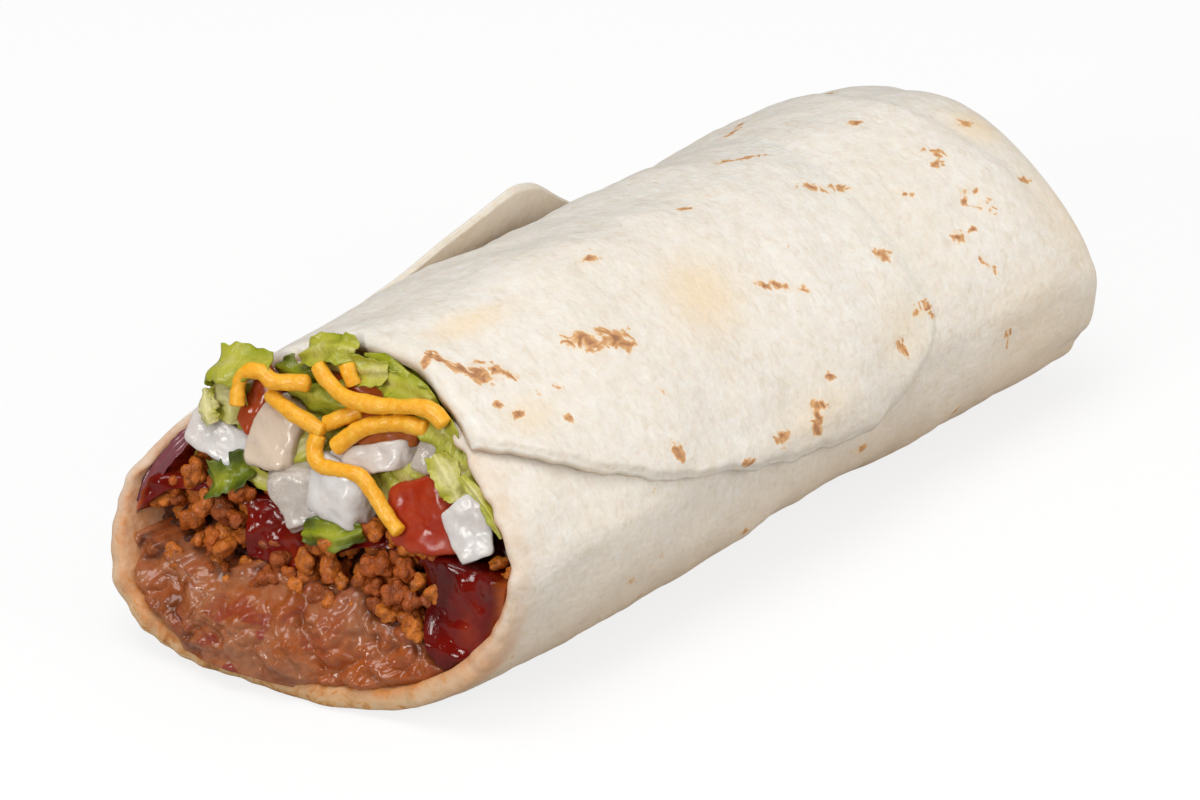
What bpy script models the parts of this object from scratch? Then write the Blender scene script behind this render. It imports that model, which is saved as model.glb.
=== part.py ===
"""A burrito: beans, beef, red sauce, lettuce, onion, tomato and cheese rolled in one flour tortilla.

Metres, +Z up. It lies on its flat underside along X, the open filled end at -X and the folded end at +X,
with the outer flap's edge on the -Y side. An angle round the roll starts at +Y and passes over the top.
"""

import math

import bmesh
import bpy
import numpy as np
from mathutils import Euler, Vector

for thing in list(bpy.data.objects):
    bpy.data.objects.remove(thing, do_unlink=True)

MM = 0.001

# The roll: half widths and half heights at four stations from the open end to the folded end.
LENGTH = 160 * MM
MIDDLE_X = 4.2 * MM
MIDDLE_Y = -0.5 * MM
STATIONS = (0.0, 0.33, 0.66, 1.0)
HALF_WIDTHS = (34.1 * MM, 35.5 * MM, 34.3 * MM, 36.4 * MM)
HALF_HEIGHTS = (25.2 * MM, 26.3 * MM, 25.2 * MM, 25.2 * MM)
TOP_ROUNDNESS = 1.66
UNDERSIDE_ROUNDNESS = 2.52
SIDEWAYS_BEND = 4.4 * MM
RESTING_DEPTH = 0.4 * MM

# The folded end: it rounds over, shrinks to a slightly lower face and is dished in the middle.
FOLD_ROUNDING = 23.7 * MM
FOLD_SCALE = 0.85
FOLD_DROP = 1.345
FOLD_DISH = 4.0 * MM
FOLD_THICKNESS = 7.0 * MM

# The sheet, its overlapping outer flap and the corner that stands up on the far side.
SHEET = 2.2 * MM
FLAP = 2.0 * MM
FLAP_SINK = 0.5 * MM
FLAP_INSET = 1.2 * MM
FLAP_LIFT = 1.0 * MM
FLAP_FROM, FLAP_UP = 18.0, 55.0
FLAP_CORNER, FLAP_LOWEST = 128.0, 188.0
FLAP_LOW_X, FLAP_END_X = 13 * MM, 45 * MM
INNER_LAYER_RECESS = 1.6 * MM
EAR_FROM, EAR_TIP, EAR_TO = -34 * MM, 2 * MM, 14 * MM
EAR_HEIGHT = 13.5 * MM
EAR_LEAN = 0.34
EAR_ANGLE = 22.0

# The open end is cut by a leaning plane, x = MOUTH_X + MOUTH_SKEW y + MOUTH_LEAN z.
MOUTH_X = -81.8 * MM
MOUTH_SKEW = -0.288
MOUTH_LEAN = 0.464
GAP = 0.5 * MM
BEHIND_RIM = 1.5 * MM

SHREDDED_CHEESE_RADIUS = 1.45 * MM


def smooth(value):
    """Eases a value from 0 to 1."""
    value = np.clip(value, 0.0, 1.0)
    return value * value * (3 - 2 * value)


def hill(value, middle, width):
    return np.exp(-(((value - middle) / width) ** 2))


def roll(x, angle):
    """The roll's face, as if it were one smooth skin, at x and at an angle in degrees."""
    along = x / LENGTH + 0.5
    wide = np.interp(along, STATIONS, HALF_WIDTHS)
    high = np.interp(along, STATIONS, HALF_HEIGHTS)
    c, s = np.cos(np.radians(angle)), np.sin(np.radians(angle))
    power = 2 / (UNDERSIDE_ROUNDNESS + (TOP_ROUNDNESS - UNDERSIDE_ROUNDNESS) * smooth((s + 0.3) / 0.6))
    turn = np.clip((x - (LENGTH / 2 - FOLD_ROUNDING)) / FOLD_ROUNDING, 0, 1)
    scale = FOLD_SCALE + (1 - FOLD_SCALE) * np.sqrt(1 - turn**2)
    y = wide * scale * np.sign(c) * np.abs(c) ** power + SIDEWAYS_BEND * np.sin(np.pi * x / LENGTH)
    middle = high * (1 - (1 - scale) * FOLD_DROP)
    z = middle + high * scale * np.sign(s) * np.abs(s) ** power
    return np.stack(np.broadcast_arrays(x, y, z), -1)


def raised(x, angle, rise):
    """A point that stands rise metres out from the roll's face, and never below the underside."""
    step = 1.0
    round_it = roll(x, angle + step) - roll(x, angle - step)
    along = roll(x + MM, angle) - roll(x - MM, angle)
    out = np.cross(along, round_it)
    out /= -np.linalg.norm(out, axis=-1, keepdims=True)
    point = roll(x, angle) + out * np.asarray(rise)[..., None]
    point[..., 2] = np.maximum(point[..., 2] - RESTING_DEPTH, 0)
    return point


def rim(angle):
    """Where the sheet ends round the opening: far forward below, well back on top."""
    turn = np.radians(angle)
    wave = -9.8 * np.cos(turn) + 11.8 * np.sin(turn) - 2.2 * np.cos(2 * turn) + 3.1 * np.sin(2 * turn)
    return -LENGTH / 2 + (10.8 + wave) * MM


def flap_edge(x):
    """The angle of the outer flap's round edge: it dips down the near side and comes up again."""
    front = (FLAP_LOWEST - FLAP_CORNER) * (np.clip(FLAP_LOW_X - x, 0, 1) / (71 * MM)) ** 1.75
    back = 46 * (np.clip(x - FLAP_LOW_X, 0, 1) / (30 * MM)) ** 3.5
    return FLAP_LOWEST - front - back


def under_flap(x, angle):
    """How much of the flap lies over this spot, from 0 to 1: the sheet below is pressed in there."""
    side = smooth((angle - FLAP_FROM) / (FLAP_UP - FLAP_FROM)) * (1 - smooth((angle - flap_edge(x)) / 30))
    return side * (1 - smooth((x - FLAP_LOW_X) / (FLAP_END_X - FLAP_LOW_X)))


def even_angles(count):
    """Angles that share out the girth evenly."""
    fine = np.linspace(0, 360, 1441)
    points = roll(np.zeros_like(fine), fine)
    girth = np.concatenate([[0], np.cumsum(np.linalg.norm(np.diff(points, axis=0), axis=1))])
    return np.interp(np.linspace(0, girth[-1], count, endpoint=False), girth, fine)


def mouth(y, z, forward=0.0):
    """A point on the cut of the open end, or forward of it."""
    return Vector((MOUTH_X + MOUTH_SKEW * y + MOUTH_LEAN * z - forward, y, z))


def material(name, colour, roughness):
    made = bpy.data.materials.new(name)
    made.use_nodes = True
    shader = made.node_tree.nodes["Principled BSDF"]
    shader.inputs["Base Color"].default_value = (*colour, 1)
    shader.inputs["Roughness"].default_value = roughness
    shader.inputs["Metallic"].default_value = 0.0
    return made


def place(name, bm, finish):
    """Makes the named object from a closed bmesh, with its faces out and its round sides smooth."""
    bmesh.ops.recalc_face_normals(bm, faces=bm.faces)
    mesh = bpy.data.meshes.new(name)
    bm.to_mesh(mesh)
    bm.free()
    mesh.shade_smooth()
    mesh.set_sharp_from_angle(angle=math.radians(45))
    mesh.materials.append(finish)
    made = bpy.data.objects.new(name, mesh)
    bpy.context.collection.objects.link(made)
    made.location = (MIDDLE_X, MIDDLE_Y, 0)
    return made


def loft(name, rings, finish):
    """A closed skin through rings of equal length, each end drawn in to one point."""
    bm = bmesh.new()
    loops = [[bm.verts.new(point) for point in ring] for ring in rings]
    count = len(loops[0])
    for one, two in zip(loops, loops[1:]):
        for i in range(count):
            j = (i + 1) % count
            bm.faces.new((one[i], one[j], two[j], two[i]))
    for ring in (loops[0], loops[-1]):
        middle = bm.verts.new(sum((v.co for v in ring), Vector()) / count)
        for i in range(count):
            bm.faces.new((ring[i], ring[(i + 1) % count], middle))
    return place(name, bm, finish)


def slab(name, above, below, finish):
    """A closed sheet between two grids of points, joined round their four borders."""
    bm = bmesh.new()
    rows, columns = above.shape[:2]
    faces = []
    for grid in (above, below):
        faces.append([[bm.verts.new(point) for point in row] for row in grid])
    for grid in faces:
        for i in range(rows - 1):
            for j in range(columns - 1):
                bm.faces.new((grid[i][j], grid[i + 1][j], grid[i + 1][j + 1], grid[i][j + 1]))
    top, under = faces
    border = [(i, 0) for i in range(rows)] + [(rows - 1, j) for j in range(1, columns)]
    border += [(i, columns - 1) for i in range(rows - 2, -1, -1)] + [(0, j) for j in range(columns - 2, 0, -1)]
    for (i, j), (k, m) in zip(border, border[1:] + border[:1]):
        bm.faces.new((top[i][j], top[k][m], under[k][m], under[i][j]))
    return place(name, bm, finish)


def combine(target, tool, operation):
    """Joins a hidden helper to a piece, or keeps only what lies inside the helper."""
    tool.hide_render = True
    tool.display_type = "WIRE"
    change = target.modifiers.new(tool.name, "BOOLEAN")
    change.operation = operation
    change.solver = "EXACT"
    change.object = tool


def tortilla():
    """The rolled sheet: a cup with one wall, closed by the fold, with the flap and the ear joined on."""
    finish = material("flour_tortilla", (0.80, 0.72, 0.58), 0.62)
    angles = even_angles(40)
    front = rim(angles) + INNER_LAYER_RECESS * smooth((angles - 45) / 20) * (1 - smooth((angles - 112) / 16))
    fold_x = LENGTH / 2
    body_x = fold_x - FOLD_ROUNDING
    rings = []
    for share in (0.3, 0.62, 0.86):
        face = raised(np.full_like(angles, fold_x - 0.1 * MM), angles, 0.0)
        middle = face.mean(axis=0)
        ring = middle + (face - middle) * share
        ring[:, 0] = fold_x - FOLD_DISH * (1 - share**2)
        rings.append(ring)
    for turn in (88, 68, 48, 30, 14, 0):
        x = np.full_like(angles, body_x + FOLD_ROUNDING * math.sin(math.radians(turn)))
        rings.append(raised(x, angles, -FLAP_INSET * under_flap(x, angles)))
    for share in np.linspace(0, 1, 15)[1:]:
        x = body_x + (front - body_x) * share
        rings.append(raised(x, angles, -FLAP_INSET * under_flap(x, angles)))
    pressed = -FLAP_INSET * under_flap(front, angles)
    rings.append(raised(front - 0.6 * MM, angles, pressed - 0.3 * SHEET))
    rings.append(raised(front - 0.5 * MM, angles, pressed - 0.75 * SHEET))
    end_x = fold_x - FOLD_THICKNESS
    for share in np.linspace(0, 1, 11):
        x = front + (end_x - front) * share
        rings.append(raised(x, angles, -SHEET - FLAP_INSET * under_flap(x, angles)))
    deep = rings[-1]
    rings.append(deep.mean(axis=0) + (deep - deep.mean(axis=0)) * 0.5)
    wrap = loft("tortilla", rings, finish)
    combine(wrap, flap(finish), "UNION")
    combine(wrap, ear(finish), "UNION")
    return wrap


def flap(finish):
    """The overlapping outer layer, from the far side over the top to its round edge on the near side."""
    along = np.linspace(0, 1, 20)[:, None]
    across = np.concatenate([np.linspace(0, 0.9, 11), [0.95, 1.0]])[None, :]
    edge_x = rim(FLAP_CORNER) + (FLAP_END_X - rim(FLAP_CORNER)) * along
    angle = FLAP_FROM + (flap_edge(edge_x) - FLAP_FROM) * across
    start = rim(np.minimum(angle, FLAP_CORNER))
    x = start + (FLAP_END_X - start) * along
    pressed = -FLAP_INSET * under_flap(x, angle)
    proud = smooth((angle - FLAP_FROM) / (FLAP_UP - FLAP_FROM)) * (1 - smooth((along - 0.72) / 0.26))
    lift = FLAP_LIFT * smooth((across - 0.86) / 0.14) * proud
    rounded = 1 - 0.35 * (across > 0.99)
    outer = pressed - FLAP_SINK / 2 + (FLAP + FLAP_SINK / 2) * proud * rounded + lift
    inner = pressed - FLAP_SINK * (1 - 0.2 * proud) + lift * 1.3 - 0.2 * MM
    return slab("outer_flap", raised(x, angle, outer), raised(x, angle, inner), finish)


def ear(finish):
    """The corner of the sheet that stands up behind the ridge, with a long ramp and a steep back edge."""
    x = np.array([-34, -26, -18, -10, -4, 0, 4, 8, 11, 14])[:, None] * MM
    ramp = smooth((x - EAR_FROM) / (EAR_TIP - EAR_FROM) * 0.5) * 2
    fall = 1 - smooth((x - EAR_TIP) / (EAR_TO - EAR_TIP))
    height = EAR_HEIGHT * np.minimum(ramp, 1) * fall
    share = np.array([0, 0.4, 0.75, 1.0])[None, :]
    foot = raised(x, np.full_like(x, EAR_ANGLE), np.full_like(x, -0.4 * MM))
    up = np.array([0.0, -EAR_LEAN, 1.0])
    sunk = 3 * MM
    rise = (height + sunk) * share - sunk
    outside = foot + rise[..., None] * up
    outside[..., 1] += 1.4 * MM
    inside = outside.copy()
    inside[..., 1] -= FLAP * (1 - 0.4 * share)
    return slab("standing_ear", outside, inside, finish)


def filling_core(name, forward, finish):
    """The whole filling as if it were one stuff: it fills the roll, and forward(y, z) shapes its cut end."""
    angles = even_angles(40)
    front = rim(angles) + BEHIND_RIM
    end_x = LENGTH / 2 - FOLD_THICKNESS - GAP

    def wall_ring(x):
        return raised(x, angles, -SHEET - GAP - FLAP_INSET * under_flap(x, angles))

    def cut_x(points):
        return MOUTH_X + MOUTH_SKEW * points[:, 1] + MOUTH_LEAN * points[:, 2]

    edge = wall_ring(front)
    bend = edge[:, 0] - cut_x(edge)
    middle = np.array([0.0, -4 * MM, 24 * MM])
    rings = []
    for share in (0.12, 0.3, 0.47, 0.63, 0.78, 0.9):
        ring = middle + (edge - middle) * share
        ring[:, 0] = cut_x(ring) + bend * share**3 - forward(ring[:, 1], ring[:, 2])
        rings.append(ring)
    start = front - forward(edge[:, 1], edge[:, 2])
    for share in np.linspace(0, 1, 11):
        rings.append(wall_ring(start + (end_x - start) * share))
    return loft(name, rings, finish)


def beans_top(y):
    return 15 * MM - 2.5 * MM * hill(y, 14 * MM, 7 * MM) + 1.5 * MM * smooth((y - 20 * MM) / (10 * MM))


def beef_top(y):
    near = 8 * MM * smooth((-y - 19 * MM) / (11 * MM))
    far = 5 * MM * smooth((y - 21 * MM) / (7 * MM))
    return 26 * MM - 4 * MM * hill(y, -3 * MM, 6 * MM) - near - far


def sauce_top(y):
    return 29.5 * MM - 3.5 * MM * hill(y, -3 * MM, 7 * MM) + 4 * MM * smooth((y - 14 * MM) / (8 * MM))


def layer(name, low, high, forward, finish):
    """One bed of the filling: the part of the core between two wavy levels, with a gap to the next bed."""
    x = np.array([-110, 110])[:, None] * MM
    y = np.linspace(-45, 45, 25)[None, :] * MM
    above = np.stack(np.broadcast_arrays(x, y, high(y) - GAP / 2), -1)
    below = np.stack(np.broadcast_arrays(x, y, low(y) + GAP / 2), -1)
    bed = filling_core(name, forward, finish)
    combine(bed, slab(name + "_levels", above, below, finish), "INTERSECT")
    return bed


def fillings():
    """The four beds that run the length of the roll, lowest first."""

    def beans_front(y, z):
        lip = 3.2 * MM * hill(y, 3 * MM, 15 * MM) * hill(z, 5 * MM, 8 * MM)
        return 1.0 * MM + lip + 0.7 * MM * np.sin(y / (2.6 * MM)) * np.cos(z / (2.1 * MM))

    def beef_front(y, z):
        return -1.6 * MM + 1.2 * MM * np.sin(y / (1.5 * MM) + 1) * np.cos(z / (1.3 * MM) + y / (4 * MM))

    def sauce_front(y, z):
        dice_room = smooth((z - 23.5 * MM) / (2.0 * MM)) * (1 - smooth((y - 23 * MM) / (3 * MM)))
        return -2.0 * MM - 6.0 * MM * dice_room + 0.5 * MM * np.sin(y / (3 * MM))

    def lettuce_front(y, z):
        return -8.5 * MM + 1.0 * MM * smooth((z - 42 * MM) / (6 * MM)) + 0.5 * MM * np.sin(y / (2 * MM))

    beans = material("refried_bean_paste", (0.42, 0.20, 0.11), 0.35)
    beef = material("seasoned_ground_beef", (0.33, 0.11, 0.03), 0.45)
    sauce = material("red_chili_sauce", (0.28, 0.02, 0.01), 0.15)
    lettuce = material("iceberg_lettuce", (0.45, 0.58, 0.15), 0.4)
    layer("refried_beans", lambda y: -5 * MM + 0 * y, beans_top, beans_front, beans)
    layer("seasoned_beef", beans_top, beef_top, beef_front, beef)
    layer("red_sauce", beef_top, sauce_top, sauce_front, sauce)
    layer("shredded_lettuce", sauce_top, lambda y: 70 * MM + 0 * y, lettuce_front, lettuce)


def diced(name, middle, size, turn, seed, finish):
    """A hand-cut dice: an uneven block with soft edges, turned from lying flat in the cut end."""
    bm = bmesh.new()
    bmesh.ops.create_cube(bm, size=1)
    uneven = np.random.default_rng(seed)
    for corner in bm.verts:
        corner.co = Vector(corner.co * (1 + uneven.uniform(-0.16, 0.02)))
        corner.co = Vector([c * s * MM for c, s in zip(corner.co, size)])
    bmesh.ops.bevel(bm, geom=list(bm.edges), offset=0.12 * min(size) * MM, segments=1, affect="EDGES")
    dice = place(name, bm, finish)
    lie = Euler((0, math.atan(MOUTH_LEAN), math.atan(-MOUTH_SKEW))).to_matrix()
    dice.rotation_euler = (lie @ Euler([math.radians(t) for t in turn]).to_matrix()).to_euler()
    y, z, forward = (m * MM for m in middle)
    dice.location += mouth(y, z, forward)
    return dice


def shred(name, route, finish):
    """A strand of grated cheese along a smooth route, given as (y, z, forward) in millimetres."""
    points = np.array(route, float)
    reach = np.arange(len(points))
    steps = np.linspace(0, len(points) - 1, 2 * len(points))
    weight = np.exp(-(((steps[:, None] - reach) / 0.5) ** 2))
    eased = weight @ points / weight.sum(axis=1, keepdims=True)
    curve = bpy.data.curves.new(name, "CURVE")
    curve.dimensions = "3D"
    curve.bevel_depth = SHREDDED_CHEESE_RADIUS
    curve.bevel_resolution = 1
    curve.use_fill_caps = True
    curve.materials.append(finish)
    spline = curve.splines.new("POLY")
    spline.points.add(len(eased) - 1)
    for point, (y, z, forward) in zip(spline.points, eased * MM):
        point.co = (*mouth(y, z, forward), 1)
    made = bpy.data.objects.new(name, curve)
    bpy.context.collection.objects.link(made)
    made.location = (MIDDLE_X, MIDDLE_Y, 0)


def toppings():
    """The dice and the shreds that lie in front of the lettuce at the open end."""
    onion = material("white_onion", (0.85, 0.82, 0.74), 0.3)
    tomato = material("fresh_tomato", (0.55, 0.08, 0.04), 0.25)
    cheese = material("cheddar_shreds", (0.90, 0.46, 0.04), 0.4)
    # middle as (y, z, forward), size along x, y and z, and turn in degrees round x, y and z
    onions = (
        ((18.6, 31.9, -2.9), (4.6, 8.4, 6.2), (12, 0, 4)),
        ((9.0, 33.6, -2.8), (5.0, 7.2, 8.2), (-14, 0, 0)),
        ((1.0, 29.0, 1.6), (4.2, 5.4, 7.4), (-24, 0, 0)),
        ((-5.6, 29.0, -1.6), (4.6, 6.6, 7.0), (8, 0, 0)),
        ((-6.9, 35.9, -3.2), (4.0, 9.6, 3.6), (-14, 0, 0)),
        ((-15.0, 38.8, -3.4), (3.4, 3.6, 5.4), (8, 0, 0)),
        ((-25.2, 30.4, -3.0), (4.4, 5.4, 7.2), (-20, 0, 4)),
    )
    tomatoes = (
        ((-16.6, 31.2, -2.6), (4.4, 9.0, 9.0), (-10, 0, 0)),
        ((13.8, 38.4, -3.6), (3.4, 3.2, 4.8), (10, 0, 0)),
        ((-7.4, 39.6, -4.0), (3.6, 7.2, 2.8), (-8, 0, 0)),
        ((-1.6, 43.6, -4.6), (3.2, 6.6, 2.4), (-6, 0, 0)),
    )
    routes = (
        ((4.2, 48.2, 2.2), (1.3, 46.2, 2.4), (-2.6, 45.1, 2.8), (-7.8, 45.2, 2.8), (-13.3, 46.5, 2.6),
         (-16.3, 46.5, 2.4), (-19.0, 45.0, 2.2)),
        ((15.2, 39.4, 1.4), (16.1, 42.1, 1.6), (15.6, 43.8, 1.8), (12.8, 44.4, 2.0), (10.2, 43.7, 2.0),
         (5.8, 44.7, 1.6)),
        ((10.4, 41.0, 1.6), (6.6, 40.6, 2.0), (2.5, 39.7, 2.2), (1.0, 39.6, 2.2)),
        ((0.4, 40.6, -1.6), (-1.6, 41.4, -1.6), (-3.4, 42.2, -1.8)),
        ((-2.8, 37.4, 1.6), (-4.3, 39.2, 1.4), (-6.9, 41.3, 1.4), (-11.4, 42.8, 1.2), (-15.6, 43.0, 1.0)),
        ((0.2, 37.2, 2.0), (0.0, 36.0, 2.2), (-1.5, 34.6, 2.6), (-4.9, 34.9, 2.8), (-8.6, 35.3, 2.8),
         (-11.5, 33.2, 2.6), (-14.3, 30.9, 2.4), (-17.6, 28.8, 2.4)),
        ((3.4, 45.4, -2.0), (2.2, 44.2, -2.0)),
    )
    for kind, rows, finish, first in (("onion", onions, onion, 10), ("tomato", tomatoes, tomato, 40)):
        for number, (middle, size, turn) in enumerate(rows, 1):
            diced(f"{kind}_dice_{number}", middle, size, turn, first + number, finish)
    for number, route in enumerate(routes, 1):
        shred(f"cheese_shred_{number}", route, cheese)


tortilla()
fillings()
toppings()
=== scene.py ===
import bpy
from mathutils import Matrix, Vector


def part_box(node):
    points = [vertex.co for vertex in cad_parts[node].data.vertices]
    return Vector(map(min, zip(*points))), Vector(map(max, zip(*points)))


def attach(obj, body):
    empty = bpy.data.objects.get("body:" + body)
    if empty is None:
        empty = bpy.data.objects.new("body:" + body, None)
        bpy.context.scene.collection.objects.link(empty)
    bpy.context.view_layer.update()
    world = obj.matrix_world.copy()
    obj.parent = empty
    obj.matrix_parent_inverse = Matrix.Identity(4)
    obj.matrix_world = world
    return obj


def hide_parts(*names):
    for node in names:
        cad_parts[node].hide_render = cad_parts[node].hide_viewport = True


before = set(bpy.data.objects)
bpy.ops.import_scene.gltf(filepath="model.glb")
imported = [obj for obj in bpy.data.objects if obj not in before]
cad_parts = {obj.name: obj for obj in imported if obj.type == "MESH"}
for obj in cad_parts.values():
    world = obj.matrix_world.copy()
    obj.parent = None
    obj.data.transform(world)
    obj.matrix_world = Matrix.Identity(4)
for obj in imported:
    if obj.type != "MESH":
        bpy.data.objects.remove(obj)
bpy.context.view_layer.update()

import math

import bmesh
import bpy
import numpy as np
from mathutils import Euler, Vector, noise

# THE ROLLED TORTILLA
# One thin round of soft wheat dough, baked on a hot plate, rolled round the filling and pressed flat below.
# Its open end is cut back on top, its other end is folded in, and its round edge overlaps the near side.
MM = 0.001
# the roll lies along x, open at its low end; angles run from the far side, over the top, down the near side
LENGTH = 160 * MM
STATIONS = (0.0, 0.33, 0.66, 1.0)
HALF_WIDTHS = (34.1 * MM, 35.5 * MM, 34.3 * MM, 36.4 * MM)
HALF_HEIGHTS = (25.2 * MM, 26.3 * MM, 25.2 * MM, 25.2 * MM)
TOP_ROUNDNESS, UNDERSIDE_ROUNDNESS = 1.66, 2.52
SIDEWAYS_BEND = 4.4 * MM
RESTING_DEPTH = 0.4 * MM
FOLD_ROUNDING, FOLD_SCALE, FOLD_DROP = 23.7 * MM, 0.85, 1.345
FOLD_DISH, FOLD_THICKNESS = 4.0 * MM, 7.0 * MM
SHEET = 2.2 * MM
FLAP_INSET = 1.2 * MM
FLAP_FROM, FLAP_UP = 18.0, 55.0
FLAP_CORNER, FLAP_LOWEST = 128.0, 188.0
FLAP_LOW_X, FLAP_END_X = 13 * MM, 45 * MM
# where the roll's own middle lies
AT = np.array([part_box("tortilla")[1].x - LENGTH / 2, -0.5 * MM, 0.0])


def smooth(value):
    value = np.clip(value, 0.0, 1.0)
    return value * value * (3 - 2 * value)


def hill(value, middle, width):
    return np.exp(-(((value - middle) / width) ** 2))


def uneven(points, size, seed):
    """Natural unevenness between about -1 and 1, in swells about size long."""
    draw = np.random.default_rng(seed)
    total = 0
    for _ in range(8):
        way = draw.normal(size=3)
        way *= 2 * math.pi / (size * draw.uniform(0.7, 1.5) * np.linalg.norm(way))
        total = total + np.sin(points @ way + draw.uniform(0, 2 * math.pi))
    return total / 3


def section(x):
    """The roll at x: its half width, half height and how far it is drawn in near the fold."""
    along = x / LENGTH + 0.5
    turn = np.clip((x - (LENGTH / 2 - FOLD_ROUNDING)) / FOLD_ROUNDING, 0, 1)
    scale = FOLD_SCALE + (1 - FOLD_SCALE) * np.sqrt(1 - turn**2)
    return np.interp(along, STATIONS, HALF_WIDTHS), np.interp(along, STATIONS, HALF_HEIGHTS), scale


def roundness(up):
    """How square the section is, from its underside, where up is -1, to its top, where up is 1."""
    return UNDERSIDE_ROUNDNESS + (TOP_ROUNDNESS - UNDERSIDE_ROUNDNESS) * smooth((up + 0.3) / 0.6)


def roll(x, angle):
    """The roll's face as one smooth skin, at x and an angle in degrees from +Y over the top."""
    wide, high, scale = section(x)
    c, s = np.cos(np.radians(angle)), np.sin(np.radians(angle))
    power = 2 / roundness(s)
    y = wide * scale * np.sign(c) * np.abs(c) ** power + SIDEWAYS_BEND * np.sin(np.pi * x / LENGTH)
    middle = high * (1 - (1 - scale) * FOLD_DROP)
    z = middle + high * scale * np.sign(s) * np.abs(s) ** power
    return np.stack(np.broadcast_arrays(x, y, z), -1)


def raised(x, angle, rise):
    """A point rise metres out from the roll's face, never below the underside."""
    round_it = roll(x, angle + 1.0) - roll(x, angle - 1.0)
    along = roll(x + MM, angle) - roll(x - MM, angle)
    out = np.cross(along, round_it)
    out /= -np.linalg.norm(out, axis=-1, keepdims=True)
    point = roll(x, angle) + out * np.asarray(rise)[..., None]
    point[..., 2] = np.maximum(point[..., 2] - RESTING_DEPTH, 0)
    return point


def rim(angle):
    """Where along the roll the open end's edge lies, at an angle."""
    turn = np.radians(angle)
    wave = -9.8 * np.cos(turn) + 11.8 * np.sin(turn) - 2.2 * np.cos(2 * turn) + 3.1 * np.sin(2 * turn)
    return -LENGTH / 2 + (10.8 + wave) * MM


def flap_edge(x):
    """The angle that the outer flap's edge reaches on the near side, at x."""
    front = (FLAP_LOWEST - FLAP_CORNER) * (np.clip(FLAP_LOW_X - x, 0, 1) / (71 * MM)) ** 1.75
    back = 46 * (np.clip(x - FLAP_LOW_X, 0, 1) / (30 * MM)) ** 3.5
    return FLAP_LOWEST - front - back


def under_flap(x, angle):
    """How far the flap presses the layer below it in, from 0 to 1."""
    side = smooth((angle - FLAP_FROM) / (FLAP_UP - FLAP_FROM)) * (1 - smooth((angle - flap_edge(x)) / 30))
    return side * (1 - smooth((x - FLAP_LOW_X) / (FLAP_END_X - FLAP_LOW_X)))


def even_angles(count):
    """Angles that lie evenly spaced round the roll's girth."""
    fine = np.linspace(0, 360, 2881)
    points = roll(np.zeros_like(fine), fine)
    girth = np.concatenate([[0], np.cumsum(np.linalg.norm(np.diff(points, axis=0), axis=1))])
    return np.interp(np.linspace(0, girth[-1], count, endpoint=False), girth, fine)


def swell(x, angle):
    """The soft dents and bulges of a hand-rolled sheet, which fade out on the flat underside."""
    spot = roll(x, angle)
    lift = 0.55 * MM * uneven(spot, 34 * MM, 3) + 0.22 * MM * uneven(spot, 13 * MM, 4)
    lift = lift + 0.07 * MM * uneven(spot, 4.5 * MM, 5)
    return lift * smooth(spot[..., 2] / (6 * MM))


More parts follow.
